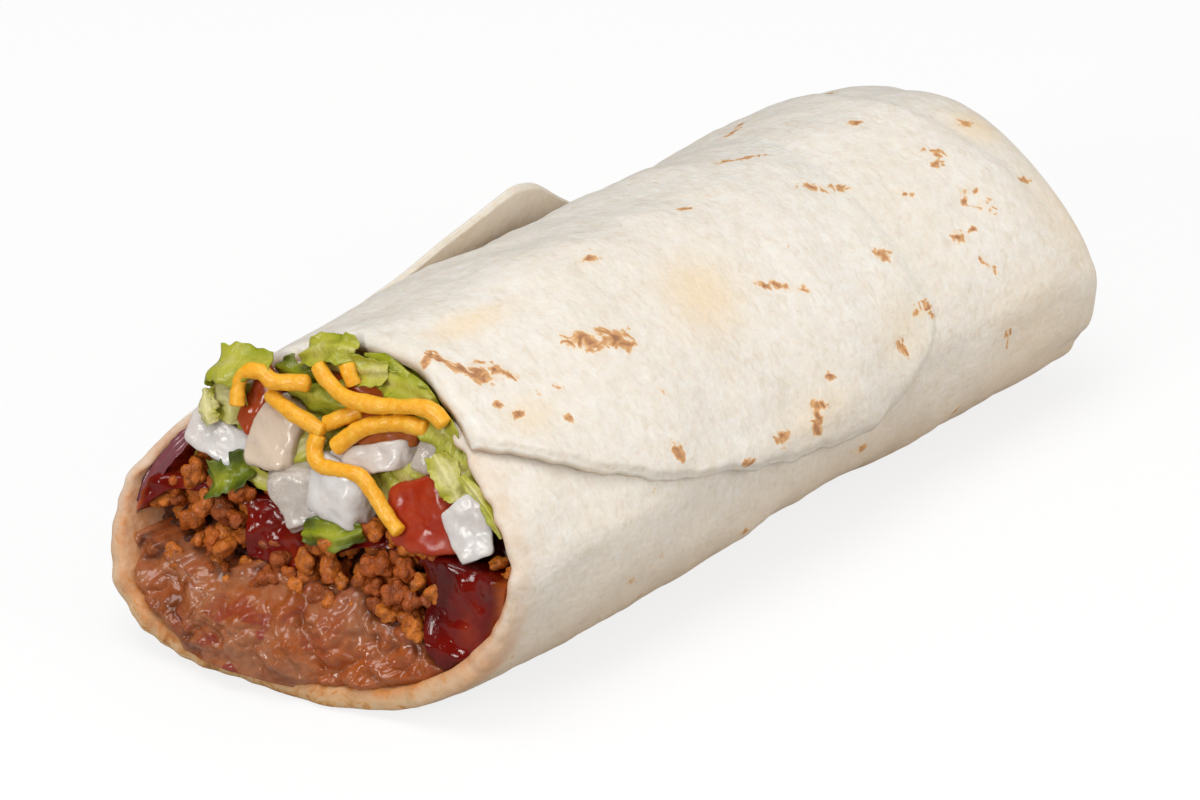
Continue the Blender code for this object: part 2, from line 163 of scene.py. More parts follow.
# toasted spots: x in mm, angle, length and width in mm, turn in degrees (down the near side), strength
TOASTED = (
    (-29, 121.5, 4.4, 1.9, 30, 0.98), (-24, 124.5, 4.0, 1.8, 32, 1.12), (-53, 104, 2.6, 0.9, -20, 1.12),
    (-51.6, 107, 2.0, 0.8, 50, 1.10), (-50.4, 111, 2.4, 1.1, 40, 1.10), (-48.4, 115.5, 2.8, 1.6, 35, 1.02),
    (-46, 116, 2.6, 1.4, 20, 0.96), (-46.6, 112, 1.5, 0.7, 10, 0.95), (-44, 119, 2.2, 0.8, 30, 0.90),
    (-49, 124.5, 0.9, 0.8, 0, 1.05), (-47.5, 129, 1.5, 0.8, 0, 1.05), (-25, 158, 2.3, 1.3, 70, 1.10),
    (-3, 173, 2.3, 1.9, 20, 1.02), (6.4, 168.5, 2.2, 1.2, 40, 1.12), (5.4, 172, 2.6, 1.0, 85, 1.12),
    (4.4, 176.5, 2.0, 1.3, 70, 1.02), (34, 137, 2.0, 1.4, 15, 1.08), (50, 142, 1.5, 1.3, 40, 1.20),
    (53.4, 142, 1.4, 0.6, 0, 0.90), (35, 157, 1.4, 1.2, 60, 1.05), (37.4, 158.5, 2.4, 0.9, 75, 1.00),
    (29, 166, 3.2, 1.1, 75, 0.98), (33, 111, 2.6, 1.0, 42, 1.00), (37, 114, 2.4, 0.9, 30, 1.02),
    (57, 131, 0.9, 0.8, 0, 1.05), (59, 132.5, 0.8, 0.8, 0, 1.05), (60, 136, 0.8, 0.9, 0, 1.05),
    (57.4, 137, 0.9, 0.8, 0, 1.05), (59.6, 139.5, 1.0, 0.8, 0, 1.0), (55.6, 134, 1.2, 0.7, 0, 0.95),
    (58, 118, 2.4, 1.1, 30, 0.98), (56, 121, 1.6, 0.8, 20, 0.92), (51, 94, 1.9, 1.0, 20, 1.05),
    (-16, 100, 3.0, 1.1, 4, 0.98), (9, 98, 2.6, 0.7, 24, 0.98), (-14, 96, 0.9, 0.5, 0, 0.90),
    (9, 129, 2.2, 0.7, 40, 0.92), (12, 132, 2.6, 0.9, 42, 0.96), (15, 135.5, 1.2, 0.8, 40, 0.94),
    (26, 79, 3.0, 0.7, 15, 0.96), (30, 82, 3.2, 0.8, 30, 0.94), (33, 85, 2.0, 0.7, 20, 0.92),
    (42, 55, 3.4, 1.1, 0, 0.92), (46, 51, 1.8, 0.8, 0, 0.95), (-57, 98, 0.9, 0.7, 0, 1.0),
    (52, 152, 1.2, 0.6, 70, 0.92), (53.4, 156, 1.6, 0.6, 75, 0.90), (54, 184, 2.6, 0.8, 75, 0.92),
    (72, 133, 2.6, 0.8, 10, 0.88), (70, 110, 2.2, 1.6, 0, 0.84), (46, 124, 2.2, 0.7, 35, 0.94),
    (-12, 175, 1.9, 1.0, 20, 0.95), (-14, 177, 1.0, 0.7, 0, 0.9), (11, 161, 1.0, 1.1, 0, 0.95),
    (-40, 136, 0.9, 0.9, 0, 0.98), (-22, 142, 0.7, 0.8, 0, 0.95), (-38, 128, 0.8, 0.7, 0, 0.9),
    (-36, 196, 2.4, 1.2, 60, 0.90), (-30, 215, 1.4, 1.0, 0, 0.90), (20, 200, 2.4, 1.4, 20, 0.90),
    (-60, 204, 1.8, 0.8, 60, 0.90), (-8, 206, 1.8, 1.0, 10, 0.86), (44, 205, 2.2, 1.4, 0, 0.88),
    (-30, 14, 3.2, 1.6, 15, 0.98), (-33, 20, 1.8, 1.0, 0, 0.92), (4, 8, 2.6, 2.0, 70, 1.02),
    (34, 24, 3.6, 1.5, 10, 1.00), (38, 30, 1.6, 1.0, 10, 0.94), (18, 345, 3.0, 2.0, 0, 0.98),
    (-48, 350, 2.4, 1.4, 30, 0.96), (58, 2, 2.2, 2.4, 0, 1.02), (61, 10, 1.6, 1.2, 0, 0.95),
    (-10, 42, 2.2, 1.2, 0, 0.95), (62, 62, 2.2, 1.4, 40, 0.98), (48, 330, 2.0, 1.8, 0, 0.96),
    (-66, 12, 1.4, 1.0, 0, 0.94), (-20, 330, 2.4, 1.8, 30, 0.96), (12, 55, 1.2, 0.9, 0, 0.95),
)
# faint golden blushes where the dough only just coloured
BLUSHES = (
    (-3, 124, 8, 6, 0, 1.0), (-42, 99, 8, 2.6, 8, 0.9), (-46, 131, 5, 3, 0, 0.6), (6, 172, 8, 4, 0, 0.5),
    (30, 160, 6, 6, 0, 0.4), (-10, 20, 16, 9, 0, 0.8), (50, 20, 12, 9, 0, 0.7), (60, 180, 12, 10, 0, 0.5),
    (72, 112, 5, 4, 0, 0.9), (76, 150, 8, 12, 0, 0.5), (-40, 340, 10, 9, 0, 0.7), (25, 335, 14, 10, 0, 0.7),
)
GIRTH_RADIUS = 29


def from_angle(angle, at):
    return (angle - at + 180) % 360 - 180


def spots(x, angle, rows):
    """How strongly each point lies in one of the spots: the spots are ovals laid on the sheet."""
    total = np.zeros(np.broadcast(x, angle).shape)
    for at_x, at_angle, long, wide, turn, strength in rows:
        dx = x / MM - at_x
        dy = np.radians(from_angle(angle, at_angle)) * GIRTH_RADIUS
        c, s = math.cos(math.radians(turn)), math.sin(math.radians(turn))
        u, v = (dx * c + dy * s) / long, (dy * c - dx * s) / wide
        total = np.maximum(total, strength * np.exp(-((u * u + v * v) ** 1.3)))
    return total


def make_mesh(name, points, faces, finish, body="root", flat=False, **traits):
    """A piece from points and faces, with named traits of its points for the finish to read."""
    mesh = bpy.data.meshes.new(name)
    mesh.from_pydata((np.asarray(points).reshape(-1, 3) + AT).tolist(), [], faces)
    mesh.materials.append(finish)
    for trait, values in traits.items():
        stored = mesh.attributes.new(trait, "FLOAT", "POINT")
        stored.data.foreach_set("value", np.asarray(values, np.float32).ravel())
    if not flat:
        mesh.shade_smooth()
    made = bpy.data.objects.new(name, mesh)
    bpy.context.collection.objects.link(made)
    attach(made, body)
    return made


def ring_faces(rows, count):
    """The faces of a tube through rows of count points, closed at both ends by one more point each."""
    faces = []
    for r in range(rows - 1):
        for i in range(count):
            j = (i + 1) % count
            faces.append((r * count + i, r * count + j, (r + 1) * count + j, (r + 1) * count + i))
    first, last = rows * count, rows * count + 1
    for i in range(count):
        j = (i + 1) % count
        faces.append((i, first, j))
        faces.append(((rows - 1) * count + i, (rows - 1) * count + j, last))
    return faces


def tube_points(rings):
    """The points that ring_faces joins: the rings, then the middle of the first and of the last."""
    rings = np.asarray(rings)
    return np.concatenate([rings.reshape(-1, 3), rings[0].mean(axis=0)[None], rings[-1].mean(axis=0)[None]])


def border_of(rows, columns):
    """The points round a grid's border, in order."""
    border = [i * columns for i in range(rows)] + [(rows - 1) * columns + j for j in range(1, columns)]
    border += [i * columns + columns - 1 for i in range(rows - 2, -1, -1)]
    return border + list(range(columns - 2, 0, -1))


def sheet_faces(rows, columns):
    """The faces of a closed sheet: a grid of points above, the same grid below, and a strip round them."""
    faces, under = [], rows * columns
    for i in range(rows - 1):
        for j in range(columns - 1):
            a, b = i * columns + j, (i + 1) * columns + j
            faces.append((a, a + 1, b + 1, b))
            faces.append((a + under, b + under, b + 1 + under, a + 1 + under))
    border = border_of(rows, columns)
    for a, b in zip(border, border[1:] + border[:1]):
        faces.append((a, b, b + under, a + under))
    return faces


def face_out(piece):
    """Turns every face of a closed piece outwards."""
    bm = bmesh.new()
    bm.from_mesh(piece.data)
    bmesh.ops.recalc_face_normals(bm, faces=bm.faces)
    bm.to_mesh(piece.data)
    bm.free()


def node(tree, kind, inputs=None, **settings):
    """Adds a shader node; an input is a plain value or the socket that feeds it."""
    made = tree.nodes.new(kind)
    for key, value in settings.items():
        setattr(made, key, value)
    for key, value in (inputs or {}).items():
        socket = made.inputs[key]
        if isinstance(value, bpy.types.NodeSocket):
            tree.links.new(value, socket)
        else:
            socket.default_value = value
    return made


def ramp(tree, fac, stops):
    """Colours at the given levels of a value, and smooth steps between them."""
    made = node(tree, "ShaderNodeValToRGB", {"Fac": fac})
    while len(made.color_ramp.elements) < len(stops):
        made.color_ramp.elements.new(0.5)
    for element, (at, colour) in zip(made.color_ramp.elements, stops):
        element.position = at
        element.color = (*colour, 1) if len(colour) == 3 else colour
    return made.outputs["Color"]


def mixed(tree, fac, a, b):
    """Colour a, covered by colour b as far as fac says."""
    made = node(tree, "ShaderNodeMix", data_type="RGBA")
    for index, value in ((0, fac), (6, a), (7, b)):
        if isinstance(value, bpy.types.NodeSocket):
            tree.links.new(value, made.inputs[index])
        else:
            made.inputs[index].default_value = value if index == 0 else (*value, 1)
    return made.outputs[2]


def maths(tree, operation, a, b=0.0, c=0.0, clamp=False):
    made = node(tree, "ShaderNodeMath", operation=operation, use_clamp=clamp)
    for index, value in enumerate((a, b, c)):
        if isinstance(value, bpy.types.NodeSocket):
            tree.links.new(value, made.inputs[index])
        else:
            made.inputs[index].default_value = value
    return made.outputs[0]


def noise_in(tree, place, scale, detail, **more):
    """A noise's value; more sets its Roughness or Distortion."""
    inputs = {"Vector": place, "Scale": scale, "Detail": detail, **more}
    return node(tree, "ShaderNodeTexNoise", inputs).outputs["Fac"]


def trait(tree, name):
    """What a piece's points hold under a name."""
    return node(tree, "ShaderNodeAttribute", attribute_name=name).outputs["Fac"]


def mask(tree, value, none_at, all_at, most=1.0):
    """A value as a mask: nothing of it at one level and all of it at the other."""
    return ramp(tree, value, sorted([(none_at, (0, 0, 0)), (all_at, (most, most, most))]))


def cover(tree, shader, colour, roughness, height, strength, distance):
    """Gives a surface its colour, its gloss and its fine relief."""
    tree.links.new(colour, shader.inputs["Base Color"])
    tree.links.new(roughness, shader.inputs["Roughness"])
    bump = node(tree, "ShaderNodeBump", {"Height": height, "Strength": strength, "Distance": distance})
    tree.links.new(bump.outputs["Normal"], shader.inputs["Normal"])


def new_finish(name, **fixed):
    """A material with its Principled shader's plain numbers set, and where its surface lies."""
    made = bpy.data.materials.new(name)
    made.use_nodes = True
    shader = made.node_tree.nodes["Principled BSDF"]
    for key, value in fixed.items():
        shader.inputs[key.replace("_", " ")].default_value = value
    place = node(made.node_tree, "ShaderNodeTexCoord").outputs["Object"]
    return made, made.node_tree, shader, place


def new_group(name, inputs, outputs):
    """A node group, and the sockets inside it that bring its inputs and take its outputs."""
    group = bpy.data.node_groups.new(name, "ShaderNodeTree")
    for label, kind, value in inputs:
        socket = group.interface.new_socket(label, in_out="INPUT", socket_type=kind)
        if value is not None:
            socket.default_value = value
    for label, kind in outputs:
        group.interface.new_socket(label, in_out="OUTPUT", socket_type=kind)
    return group, group.nodes.new("NodeGroupInput").outputs, group.nodes.new("NodeGroupOutput").inputs


def use_group(tree, group, **inputs):
    return node(tree, "ShaderNodeGroup", inputs, node_tree=group).outputs


# mealy grain: fine floury mottling as a mask and as a height, used on the dough and the cheese
grain, grain_in, grain_out = new_group(
    "mealy_grain",
    [("Place", "NodeSocketVector", None), ("Size", "NodeSocketFloat", 500.0)],
    [("Mottle", "NodeSocketFloat"), ("Height", "NodeSocketFloat")])
coarse = noise_in(grain, grain_in["Place"], grain_in["Size"], 6.0, Roughness=0.62)
pit_size = maths(grain, "MULTIPLY", grain_in["Size"], 2.2)
pits = node(grain, "ShaderNodeTexVoronoi", {"Vector": grain_in["Place"], "Scale": pit_size})
pitted = maths(grain, "MULTIPLY", pits.outputs["Distance"], 0.35)
grain.links.new(coarse, grain_out["Mottle"])
grain.links.new(maths(grain, "ADD", coarse, pitted), grain_out["Height"])

tortilla_dough, tree, shader, place = new_finish(
    "tortilla_dough", Subsurface_Weight=0.18, Subsurface_Scale=0.0025, Specular_IOR_Level=0.25)
shader.inputs["Subsurface Radius"].default_value = (1.0, 0.6, 0.35)
toast, stain = trait(tree, "toast"), trait(tree, "stain")
grains = use_group(tree, grain, Place=place, Size=420.0)
cloud = noise_in(tree, place, 38.0, 4.0)
drawn_out = node(tree, "ShaderNodeMapping", {"Vector": place, "Scale": (1.0, 0.45, 0.7)})
strokes = noise_in(tree, drawn_out.outputs["Vector"], 800.0, 4.0, Roughness=0.6, Distortion=0.8)
# floury dough: clouds, darker strokes and grains, pale flour, then painted shade that makes it darker and
# tanner towards the floor, golden blushes and the cut edge
dough = mixed(tree, mask(tree, cloud, 0.35, 0.68), (0.775, 0.735, 0.680), (0.755, 0.695, 0.610))
dough = mixed(tree, mask(tree, strokes, 0.50, 0.72, 0.62), dough, (0.640, 0.550, 0.430))
dough = mixed(tree, mask(tree, grains["Mottle"], 0.42, 0.68, 0.5), dough, (0.700, 0.625, 0.520))
dough = mixed(tree, mask(tree, strokes, 0.42, 0.28, 0.5), dough, (0.84, 0.815, 0.770))
# painted shade: the sheet turns darker and tanner towards the floor
dough = mixed(tree, maths(tree, "MULTIPLY", trait(tree, "low"), 0.75), dough, (0.690, 0.510, 0.330))
dough = mixed(tree, maths(tree, "MULTIPLY", trait(tree, "blush"), 0.55), dough, (0.80, 0.600, 0.350))
crust = maths(tree, "MULTIPLY_ADD", grains["Mottle"], 1.2, 0.1, clamp=True)
dough = mixed(tree, maths(tree, "MULTIPLY", trait(tree, "edge"), crust), dough, (0.60, 0.345, 0.160))
# fleck shapes: the toast trait says where, the fine noise tears its edge into separate flecks
tear = noise_in(tree, place, 520.0, 4.0, Roughness=0.55, Distortion=0.9)
tiny = noise_in(tree, place, 260.0, 4.0, Roughness=0.7)
scatter = noise_in(tree, place, 45.0, 2.0)
loose = maths(tree, "MULTIPLY", mask(tree, tiny, 0.66, 0.72), mask(tree, scatter, 0.52, 0.62))
heat = maths(tree, "MULTIPLY_ADD", tear, 2.6, maths(tree, "SUBTRACT", toast, 1.86))
fleck = mask(tree, heat, 0.02, 0.16)
browned = ((0.10, (0.70, 0.40, 0.16)), (0.38, (0.52, 0.24, 0.085)), (0.75, (0.30, 0.11, 0.040)))
halo = maths(tree, "MULTIPLY", mask(tree, toast, 0.25, 0.95), 0.35)
dough = mixed(tree, halo, dough, (0.78, 0.56, 0.31))
dough = mixed(tree, maths(tree, "MULTIPLY", loose, 0.55), dough, (0.70, 0.44, 0.20))
dough = mixed(tree, maths(tree, "MULTIPLY", fleck, 0.9), dough, ramp(tree, heat, browned))
patchy = ramp(tree, tiny, ((0.3, (0.35, 0.35, 0.35)), (0.7, (1, 1, 1))))
dough = mixed(tree, maths(tree, "MULTIPLY", stain, patchy), dough, (0.52, 0.170, 0.030))
tree.links.new(dough, shader.inputs["Base Color"])
tree.links.new(maths(tree, "MULTIPLY_ADD", stain, -0.3, 0.72), shader.inputs["Roughness"])
fibre_place = node(tree, "ShaderNodeMapping", {"Vector": place, "Scale": (0.45, 1.0, 1.0)}).outputs["Vector"]
fibre = maths(tree, "MULTIPLY", noise_in(tree, fibre_place, 900.0, 3.0), 0.5)
fine = node(tree, "ShaderNodeBump", {
    "Height": maths(tree, "ADD", grains["Height"], fibre), "Strength": 0.34, "Distance": 0.0006})
broad = node(tree, "ShaderNodeBump", {
    "Height": noise_in(tree, place, 150.0, 3.0), "Strength": 0.35, "Distance": 0.0012,
    "Normal": fine.outputs["Normal"]})
tree.links.new(broad.outputs["Normal"], shader.inputs["Normal"])

ROUND = 240
FACE_ROWS, ROUNDING_ROWS, BODY_ROWS = 46, 26, 125


def gathers(angle):
    """Pinched folds round the end, deepest on the far side and below, and nearly none on the near top."""
    creases = 0
    for at, width, depth in ((20, 9, 1.0), (44, 7, 0.5), (72, 6, 0.5), (205, 8, 1.0), (232, 9, 1.0),
                             (305, 8, 1.0), (335, 10, 1.0)):
        creases = creases + hill(from_angle(angle, at), 0, width) * depth
    return 1.5 * MM * creases


def end_step(x, angle):
    """The outer layer stops short of the folded end on top, which leaves a low, soft step."""
    edge = 63 * MM + 2.2 * MM * np.sin(np.radians(angle) * 3) + 0.12 * MM * (angle - 90)
    step = 0.9 * MM * smooth((x - edge) / (1.2 * MM))
    return step * smooth((angle - 35) / 12) * (1 - smooth((angle - 128) / 30))


def painted_low_shade(points):
    """How near the floor each point lies, where the sheet gets painted shade: darker and tanner towards the
    floor.
    """
    return smooth((26 * MM - points[:, 2]) / (24 * MM))


angles = even_angles(ROUND)
mouth_edge = roll(rim(angles), angles)
ragged = 0.55 * MM * uneven(mouth_edge, 12 * MM, 11) + 0.28 * MM * uneven(mouth_edge, 4 * MM, 12)
inner_layer = 1.6 * MM * smooth((angles - 45) / 20) * (1 - smooth((angles - 112) / 16))
front = rim(angles) + inner_layer + ragged
fold_x, body_x = LENGTH / 2, LENGTH / 2 - FOLD_ROUNDING
rings, at_x = [], []
# the folded end: the lower part is folded up last, over two side tucks and the top layer
for share in np.linspace(0.03, 0.99, FACE_ROWS):
    face = raised(np.full_like(angles, fold_x - 0.1 * MM), angles, 0.0)
    middle = face.mean(axis=0)
    ring = middle + (face - middle) * share
    u, v = (ring[:, 1] - middle[1]) / (30 * MM), (ring[:, 2] - middle[2]) / (21 * MM)
    soft_edge = 1 - smooth((share - 0.80) / 0.2)
    wobble = 0.06 * np.sin(5 * u + 1) + 0.03 * np.sin(13 * u)
    last_fold = 2.4 * MM * smooth((0.22 - 0.50 * (u + 0.1) ** 2 + wobble - v) / 0.07)
    side_tucks = 1.7 * MM * (smooth((u - 0.10 - 0.42 * v) / 0.07) + smooth((-u - 0.20 - 0.50 * v) / 0.07))
    ring[:, 0] = fold_x - FOLD_DISH * (1 - share**2) ** 1.6
    ring[:, 0] += (last_fold + side_tucks * smooth(v + 0.4) - 1.8 * MM) * soft_edge
    ring[:, 0] -= gathers(angles) * smooth((share - 0.25) / 0.5)
    ring[:, 0] += 0.3 * MM * uneven(ring, 8 * MM, 13) * soft_edge
    rings.append(ring)
    at_x.append(np.full_like(angles, fold_x))
# the rounding from the folded end into the side
for turn in np.linspace(88, 0, ROUNDING_ROWS):
    x = np.full_like(angles, body_x + FOLD_ROUNDING * math.sin(math.radians(turn)))
    pinched = 0.8 * gathers(angles) * smooth(turn / 60)
    rings.append(raised(x, angles, (swell(x, angles) - end_step(x, angles)) * (1 - turn / 100) - pinched))
    at_x.append(x)
# the sheet, which gets thinner just before its lip
THINNED = 0.35 * MM
for share in np.linspace(0, 1, BODY_ROWS + 1)[1:]:
    x = body_x + (front - body_x) * share
    thin = THINNED * smooth((share - 0.985) / 0.015)
    rise = swell(x, angles) - thin - end_step(x, angles) - FLAP_INSET * under_flap(x, angles)
    rings.append(raised(x, angles, rise))
    at_x.append(x)
lip = swell(front, angles) - FLAP_INSET * under_flap(front, angles)
sheet_here = SHEET * (1 + 0.75 * smooth((np.abs(angles - 270) - 100) / -40))
# the lip's round edge, thicker below, and the inner wall back to the fold
for turn in (30, 62, 90, 118, 150):
    out = math.sin(math.radians(turn))
    rise = -THINNED - (sheet_here - THINNED) * (1 - math.cos(math.radians(turn))) / 2
    rings.append(raised(front - 0.8 * MM * out, angles, lip + rise))
    at_x.append(front)
for share in np.concatenate([np.linspace(0, 0.25, 16), np.linspace(0.32, 1, 8)]):
    x = front + (fold_x - FOLD_THICKNESS - front) * share
    rise = swell(x, angles) * (1 - share) - sheet_here - FLAP_INSET * under_flap(x, angles)
    rings.append(raised(x, angles, rise))
    at_x.append(x)
rings.append(rings[-1].mean(axis=0) + (rings[-1] - rings[-1].mean(axis=0)) * 0.5)
at_x.append(at_x[-1])
points = tube_points(rings)
where = np.concatenate([np.ravel(at_x), [fold_x, fold_x]])
turned = np.concatenate([np.tile(angles, len(rings)), [0, 0]])
row = np.concatenate([np.repeat(np.arange(len(rings)), ROUND), [0, len(rings)]])
lip_row = FACE_ROWS + ROUNDING_ROWS + BODY_ROWS
inside = smooth((row - lip_row - 1) / 3)
to_rim = where - rim(turned)
cut_edge = (0.35 + 0.5 * hill(turned, 270, 80)) * smooth((row - lip_row + 7) / 7)
speckled = 1.15 * hill(turned, 285, 60) * smooth((row - lip_row + 8) / 6)
speckled = speckled * (1 - smooth((to_rim - 8 * MM) / (6 * MM)))
# oil has soaked in behind the lip, and through it on the near side and the far side
oily = inside * (1 - smooth((to_rim - 6 * MM) / (16 * MM))) * 0.85
near_lip = 0.5 * hill(turned, 205, 16) * (1 - smooth((to_rim - 1 * MM) / (4 * MM)))
oily = np.maximum(oily, near_lip * (1 - inside))
far_lip = np.maximum(hill(turned, 22, 20), 0.7 * hill(turned, 350, 20))
oily = np.maximum(oily, (0.55 + 0.4 * inside) * far_lip * (1 - smooth((to_rim - 1.5 * MM) / (4 * MM))))
wrap = make_mesh("tortilla_roll", points, ring_faces(len(rings), ROUND), tortilla_dough,
                 toast=np.maximum(spots(where, turned, TOASTED) * (1 - inside), 0.62 * speckled),
                 blush=np.maximum(spots(where, turned, BLUSHES), 0.55 * np.maximum(inside, speckled)),
                 stain=oily, low=painted_low_shade(points), edge=cut_edge)
face_out(wrap)
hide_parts("tortilla")

# THE OUTER FLAP
# The same sheet's last fifth, which passes over the top and lies loose on the near side along its round edge.
# Its edge is torn soft, stands a little off the layer below, and is pressed down towards the folded end.
FLAP, FLAP_SINK, FLAP_LIFT = 2.0 * MM, 0.5 * MM, 1.0 * MM
along = np.linspace(0, 1, 150)[:, None]
across = np.concatenate([np.linspace(0, 0.86, 70), np.linspace(0.87, 1, 26)])[None, :]
edge_x = rim(FLAP_CORNER) + (FLAP_END_X - rim(FLAP_CORNER)) * along
edge_spot = roll(edge_x, flap_edge(edge_x))
nibbled = 0.9 * uneven(edge_spot, 12 * MM, 21) + 0.5 * uneven(edge_spot, 5 * MM, 22)
angle = FLAP_FROM + (flap_edge(edge_x) + nibbled - FLAP_FROM) * across
start = rim(np.minimum(angle, FLAP_CORNER))
start = start + 0.5 * MM * uneven(roll(start, angle), 9 * MM, 23) * (1 - along)
x = start + (FLAP_END_X - start) * along
pressed = swell(x, angle) - FLAP_INSET * under_flap(x, angle)
proud = smooth((angle - FLAP_FROM) / (FLAP_UP - FLAP_FROM)) * (1 - smooth((along - 0.72) / 0.26))
lift = FLAP_LIFT * smooth((across - 0.88) / 0.12) * proud * (0.75 + 0.5 * uneven(edge_spot, 26 * MM, 24))
lift = np.maximum(lift, 0)
thin = 1 - 0.45 * smooth((across - 0.975) / 0.025) - 0.4 * smooth((0.012 - along) / 0.012)
pressed = pressed - end_step(x, angle)
outer = pressed - FLAP_SINK / 2 + (FLAP + FLAP_SINK / 2) * proud * thin + lift
inner = pressed - FLAP_SINK * (1 - 0.2 * proud) + 1.5 * lift * (1 - 0.1 * across) - 0.2 * MM
above, below = raised(x, angle, outer), raised(x, angle, np.minimum(inner, outer - 0.4 * MM))
points = np.concatenate([above.reshape(-1, 3), below.reshape(-1, 3)])
toasted, blushed = spots(x, angle, TOASTED), spots(x, angle, BLUSHES)
flap = make_mesh("tortilla_flap", points, sheet_faces(*x.shape), tortilla_dough,
                 toast=np.stack([toasted, 0 * toasted]), blush=np.stack([blushed, 0.5 + 0 * blushed]),
                 stain=np.stack([0 * toasted, 0.5 * hill(x - start, 0, 5 * MM)]), low=painted_low_shade(points))
face_out(flap)

# THE STANDING CORNER
# A corner of the same sheet on the far side that wasn't tucked in: it stands up behind the ridge,
# with a long straight ramp towards the opening, a rounded tip and a short fall behind.
EAR_FROM, EAR_TIP, EAR_TO = -36 * MM, 2 * MM, 21 * MM
EAR_HEIGHT, EAR_LEAN, EAR_ANGLE = 15.0 * MM, 0.34, 22.0
EAR_SUNK, EAR_THICKNESS = 3 * MM, 1.8 * MM
x = np.linspace(EAR_FROM, EAR_TO, 70)[:, None]
share = np.concatenate([np.linspace(0, 0.9, 22), np.linspace(0.92, 1, 6)])[None, :]
ramped = np.clip((x - EAR_FROM) / (EAR_TIP - EAR_FROM), 0, 1)
fall = np.clip((x - EAR_TIP) / (EAR_TO - EAR_TIP), 0, 1)
tip = hill(x, EAR_TIP, 4 * MM)
height = EAR_HEIGHT * np.minimum(ramped * 1.04, 1 - 0.9 * fall**1.2) - 1.2 * MM * tip
height = height + 0.3 * MM * np.sin(x / (3 * MM))
foot = raised(x, np.full_like(x, EAR_ANGLE), np.full_like(x, -0.4 * MM))
rise = (height + EAR_SUNK) * share - EAR_SUNK
outside = foot + rise[..., None] * np.array([0.0, -EAR_LEAN, 1.0])
outside[..., 1] += -1.8 * MM + 3.2 * MM * smooth(share / 0.45) + 0.5 * MM * np.sin(x / (9 * MM)) * share
outside[..., 0] -= 2.0 * MM * share
inside_face = outside.copy()
inside_face[..., 1] -= EAR_THICKNESS * (1 - 0.35 * share) * (1 - 0.6 * smooth((share - 0.94) / 0.06))
points = np.concatenate([outside.reshape(-1, 3), inside_face.reshape(-1, 3)])
ear_toast = spots(x + 0 * share, EAR_ANGLE + rise / MM * 2.4, TOASTED)
ear = make_mesh("tortilla_corner", points, sheet_faces(*rise.shape), tortilla_dough,
                toast=np.stack([ear_toast, 0 * ear_toast]), blush=np.full((2, *rise.shape), 0.2),
                stain=np.zeros((2, *rise.shape)), low=np.zeros((2, *rise.shape)))
face_out(ear)

# THE OPENING
# Where the roll was left open its filling is cut by a leaning plane that follows the sheet's rim.
# Each bed below fills its share of the hollow, from that cut back to the fold.
MOUTH_X, MOUTH_SKEW, MOUTH_LEAN = -81.8 * MM, -0.288, 0.464
MOUTH_MIDDLE = np.array([-4 * MM, 24 * MM])
wall_angles = np.linspace(0, 360, 361)
wall = raised(rim(wall_angles), wall_angles, -SHEET - FLAP_INSET * under_flap(rim(wall_angles), wall_angles))
wall_bend = wall[:, 0] - (MOUTH_X + MOUTH_SKEW * wall[:, 1] + MOUTH_LEAN * wall[:, 2])
wall_bearing = np.degrees(np.arctan2(wall[:, 2] - MOUTH_MIDDLE[1], wall[:, 1] - MOUTH_MIDDLE[0])) % 360
wall_reach = np.hypot(wall[:, 1] - MOUTH_MIDDLE[0], wall[:, 2] - MOUTH_MIDDLE[1])
order = np.argsort(wall_bearing)


def wall_share(y, z):
    """How far out towards the wall a place on the cut lies, and its bearing from the middle."""
    bearing = np.degrees(np.arctan2(z - MOUTH_MIDDLE[1], y - MOUTH_MIDDLE[0])) % 360
    reach = np.interp(bearing, wall_bearing[order], wall_reach[order], period=360)
    return np.hypot(y - MOUTH_MIDDLE[0], z - MOUTH_MIDDLE[1]) / reach, bearing


def cut_x(y, z):
    """Where along the roll the cut lies; it bends to meet the sheet's rim."""
    share, bearing = wall_share(y, z)
    bend = np.interp(bearing, wall_bearing[order], wall_bend[order], period=360)
    return MOUTH_X + MOUTH_SKEW * y + MOUTH_LEAN * z + bend * np.minimum(share, 1) ** 3


def on_cut(y, z, forward=0.0):
    """A place in the opening: y and z in millimetres, forward of the cut or, if negative, behind it."""
    y, z, forward = (np.asarray(v, float) * MM for v in (y, z, forward))
    return np.stack(np.broadcast_arrays(MOUTH_X + MOUTH_SKEW * y + MOUTH_LEAN * z - forward, y, z), -1)


def hollow(x):
    """The hollow's section at x: its middle in y and z and its half width and half height."""
    x = np.minimum(x, LENGTH / 2 - FOLD_THICKNESS)
    wide, high, scale = section(x)
    middle = high * (1 - (1 - scale) * FOLD_DROP) - RESTING_DEPTH
    return SIDEWAYS_BEND * np.sin(np.pi * x / LENGTH), middle, wide * scale, high * scale


def kept_inside(points, most=0.915, before=1.2 * MM):
    """Draws in whatever would stick through the sheet; what hangs out in front of the rim is left alone."""
    points = np.array(points)
    middle_y, middle_z, wide, high = hollow(points[..., 0])
    u, v = (points[..., 1] - middle_y) / wide, (points[..., 2] - middle_z) / high
    power = roundness(v)
    share = (np.abs(u) ** power + np.abs(v) ** power) ** (1 / power)
    angle = np.degrees(np.arctan2(v, u)) % 360
    buried = smooth((points[..., 0] - rim(angle) + before) / (1.5 * MM))
    pull = np.where(share > most, most / np.maximum(share, 1e-6), 1.0)
    pull = 1 - (1 - pull) * buried
    points[..., 1] = middle_y + u * wide * pull
    points[..., 2] = middle_z + v * high * pull
    return points


